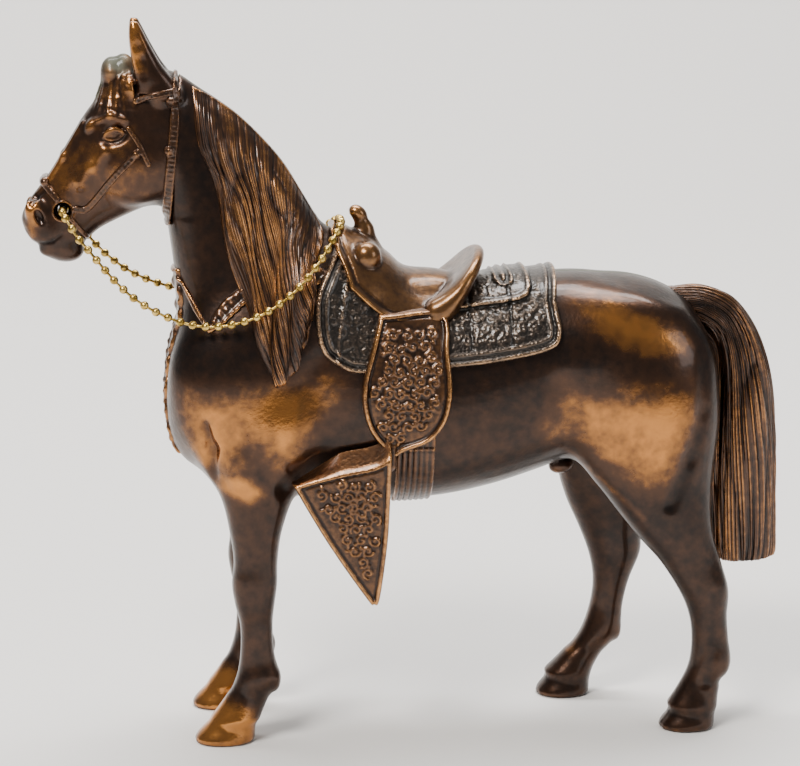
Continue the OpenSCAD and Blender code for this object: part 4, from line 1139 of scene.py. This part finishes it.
for route, half in STRAPS:
    near = line_gap(x, z, [through(route, 4)]) - half
    way = np.subtract(route[-1], route[0]) / np.hypot(*np.subtract(route[-1], route[0]))
    along = np.where(near < gap, x * way[0] + z * way[1], along)
    gap = np.minimum(gap, near)
relief = 0.22 * hump(gap + 0.35, 0.4) + 0.2 * np.abs(np.sin(np.pi * along / 1.3)) * np.clip(-gap, 0, 1)
ring = np.abs(np.hypot(x - BIT_X, z - BIT_Z) - BIT_R - 0.4) - 0.4
gap, relief = np.minimum(gap, ring), relief + np.where(ring < 0.5, 0.12 * hump(ring + 0.4, 0.6), 0)
for bx, bz, radius in BUTTONS:
    knob = np.hypot(x - bx, z - bz)
    gap, relief = np.minimum(gap, knob - radius), relief + 0.7 * hump(knob, radius)
wax.d = sheet(head_skin, gap, 0.55 + relief, 0.4, 0.6)
wax.d = soft_both(wax.d, -mouth_hole, 0.3).astype(np.float32)
clear_of_ears = np.maximum(z - 186.2, x + 62.8)
wax.keep(clear_of_ears.astype(np.float32))
bridle = waxed_piece("bridle_straps", wax, strap_bronze, rounds=8)
for piece, cad_name, slot in ((skirt, "saddle_skirt", "tooled_tack"), (seat, "saddle_seat", "seat_copper"),
                              (cinch, "cinch", "tooled_tack"), (collar, "breast_collar", "tooled_tack"),
                              (bridle, "bridle", "tooled_tack")):
    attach(piece, "horse")
    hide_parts(cad_name)

# ---------------------------------------------------------------------------------------------
# Table and light: a plain pale top that curves up behind. A key light, a weaker fill and a top light
# are on the horse, and one more light is on the backdrop. None of it belongs to the object.
BEND = 600                                 # radius where the top turns up
sweep = [(-1800, 0), (900, 0)]
sweep += [(900 + BEND * math.sin(a), BEND - BEND * math.cos(a)) for a in np.linspace(0.1, 1.5, 15)]
sweep += [(1500, 700), (1500, 2000)]
table = new_piece("table", [(side * 2400, y, z) for y, z in sweep for side in (-1, 1)],
                  [(2 * i, 2 * i + 1, 2 * i + 3, 2 * i + 2) for i in range(len(sweep) - 1)])
cloth = bpy.data.materials.new("pale_table")
cloth.use_nodes = True
matte = cloth.node_tree.nodes["Principled BSDF"]
matte.inputs["Base Color"].default_value = (0.76, 0.735, 0.705, 1)
matte.inputs["Roughness"].default_value = 0.9
table.data.materials.append(cloth)


def area_light(name, place, aim, size, power, colour):
    """A large soft light that looks at aim."""
    light = bpy.data.lights.new(name, "AREA")
    light.shape = "RECTANGLE"
    light.size, light.size_y = size
    light.energy = power
    light.color = colour
    lamp = bpy.data.objects.new(name, light)
    bpy.context.scene.collection.objects.link(lamp)
    lamp.location = place
    lamp.rotation_euler = (Vector(place) - Vector(aim)).to_track_quat("Z", "Y").to_euler()


area_light("key", (-0.5, -0.6, 1.0), (0, 0, 0.1), (0.4, 0.3), 17, (1, 0.97, 0.93))
area_light("fill", (0.9, -0.6, 0.5), (0, 0, 0.1), (0.4, 0.5), 2.6, (0.95, 0.97, 1))
area_light("top", (0.1, 0.15, 1.1), (0, 0, 0.1), (0.6, 0.25), 6.5, (1, 1, 1))
area_light("backdrop", (0, 0.6, 1.9), (0, 1.3, 0.3), (2, 0.5), 62, (1, 1, 1))
world = bpy.data.worlds.new("room")
bpy.context.scene.world = world
world.use_nodes = True
air = world.node_tree.nodes["Background"]
air.inputs["Color"].default_value = (0.86, 0.86, 0.88, 1)
seen = node(world.node_tree, "ShaderNodeMapRange", {0: node(world.node_tree, "ShaderNodeLightPath").outputs[0],
                                                    "To Min": 0.25, "To Max": 0.62})
world.node_tree.links.new(seen.outputs[0], air.inputs["Strength"])
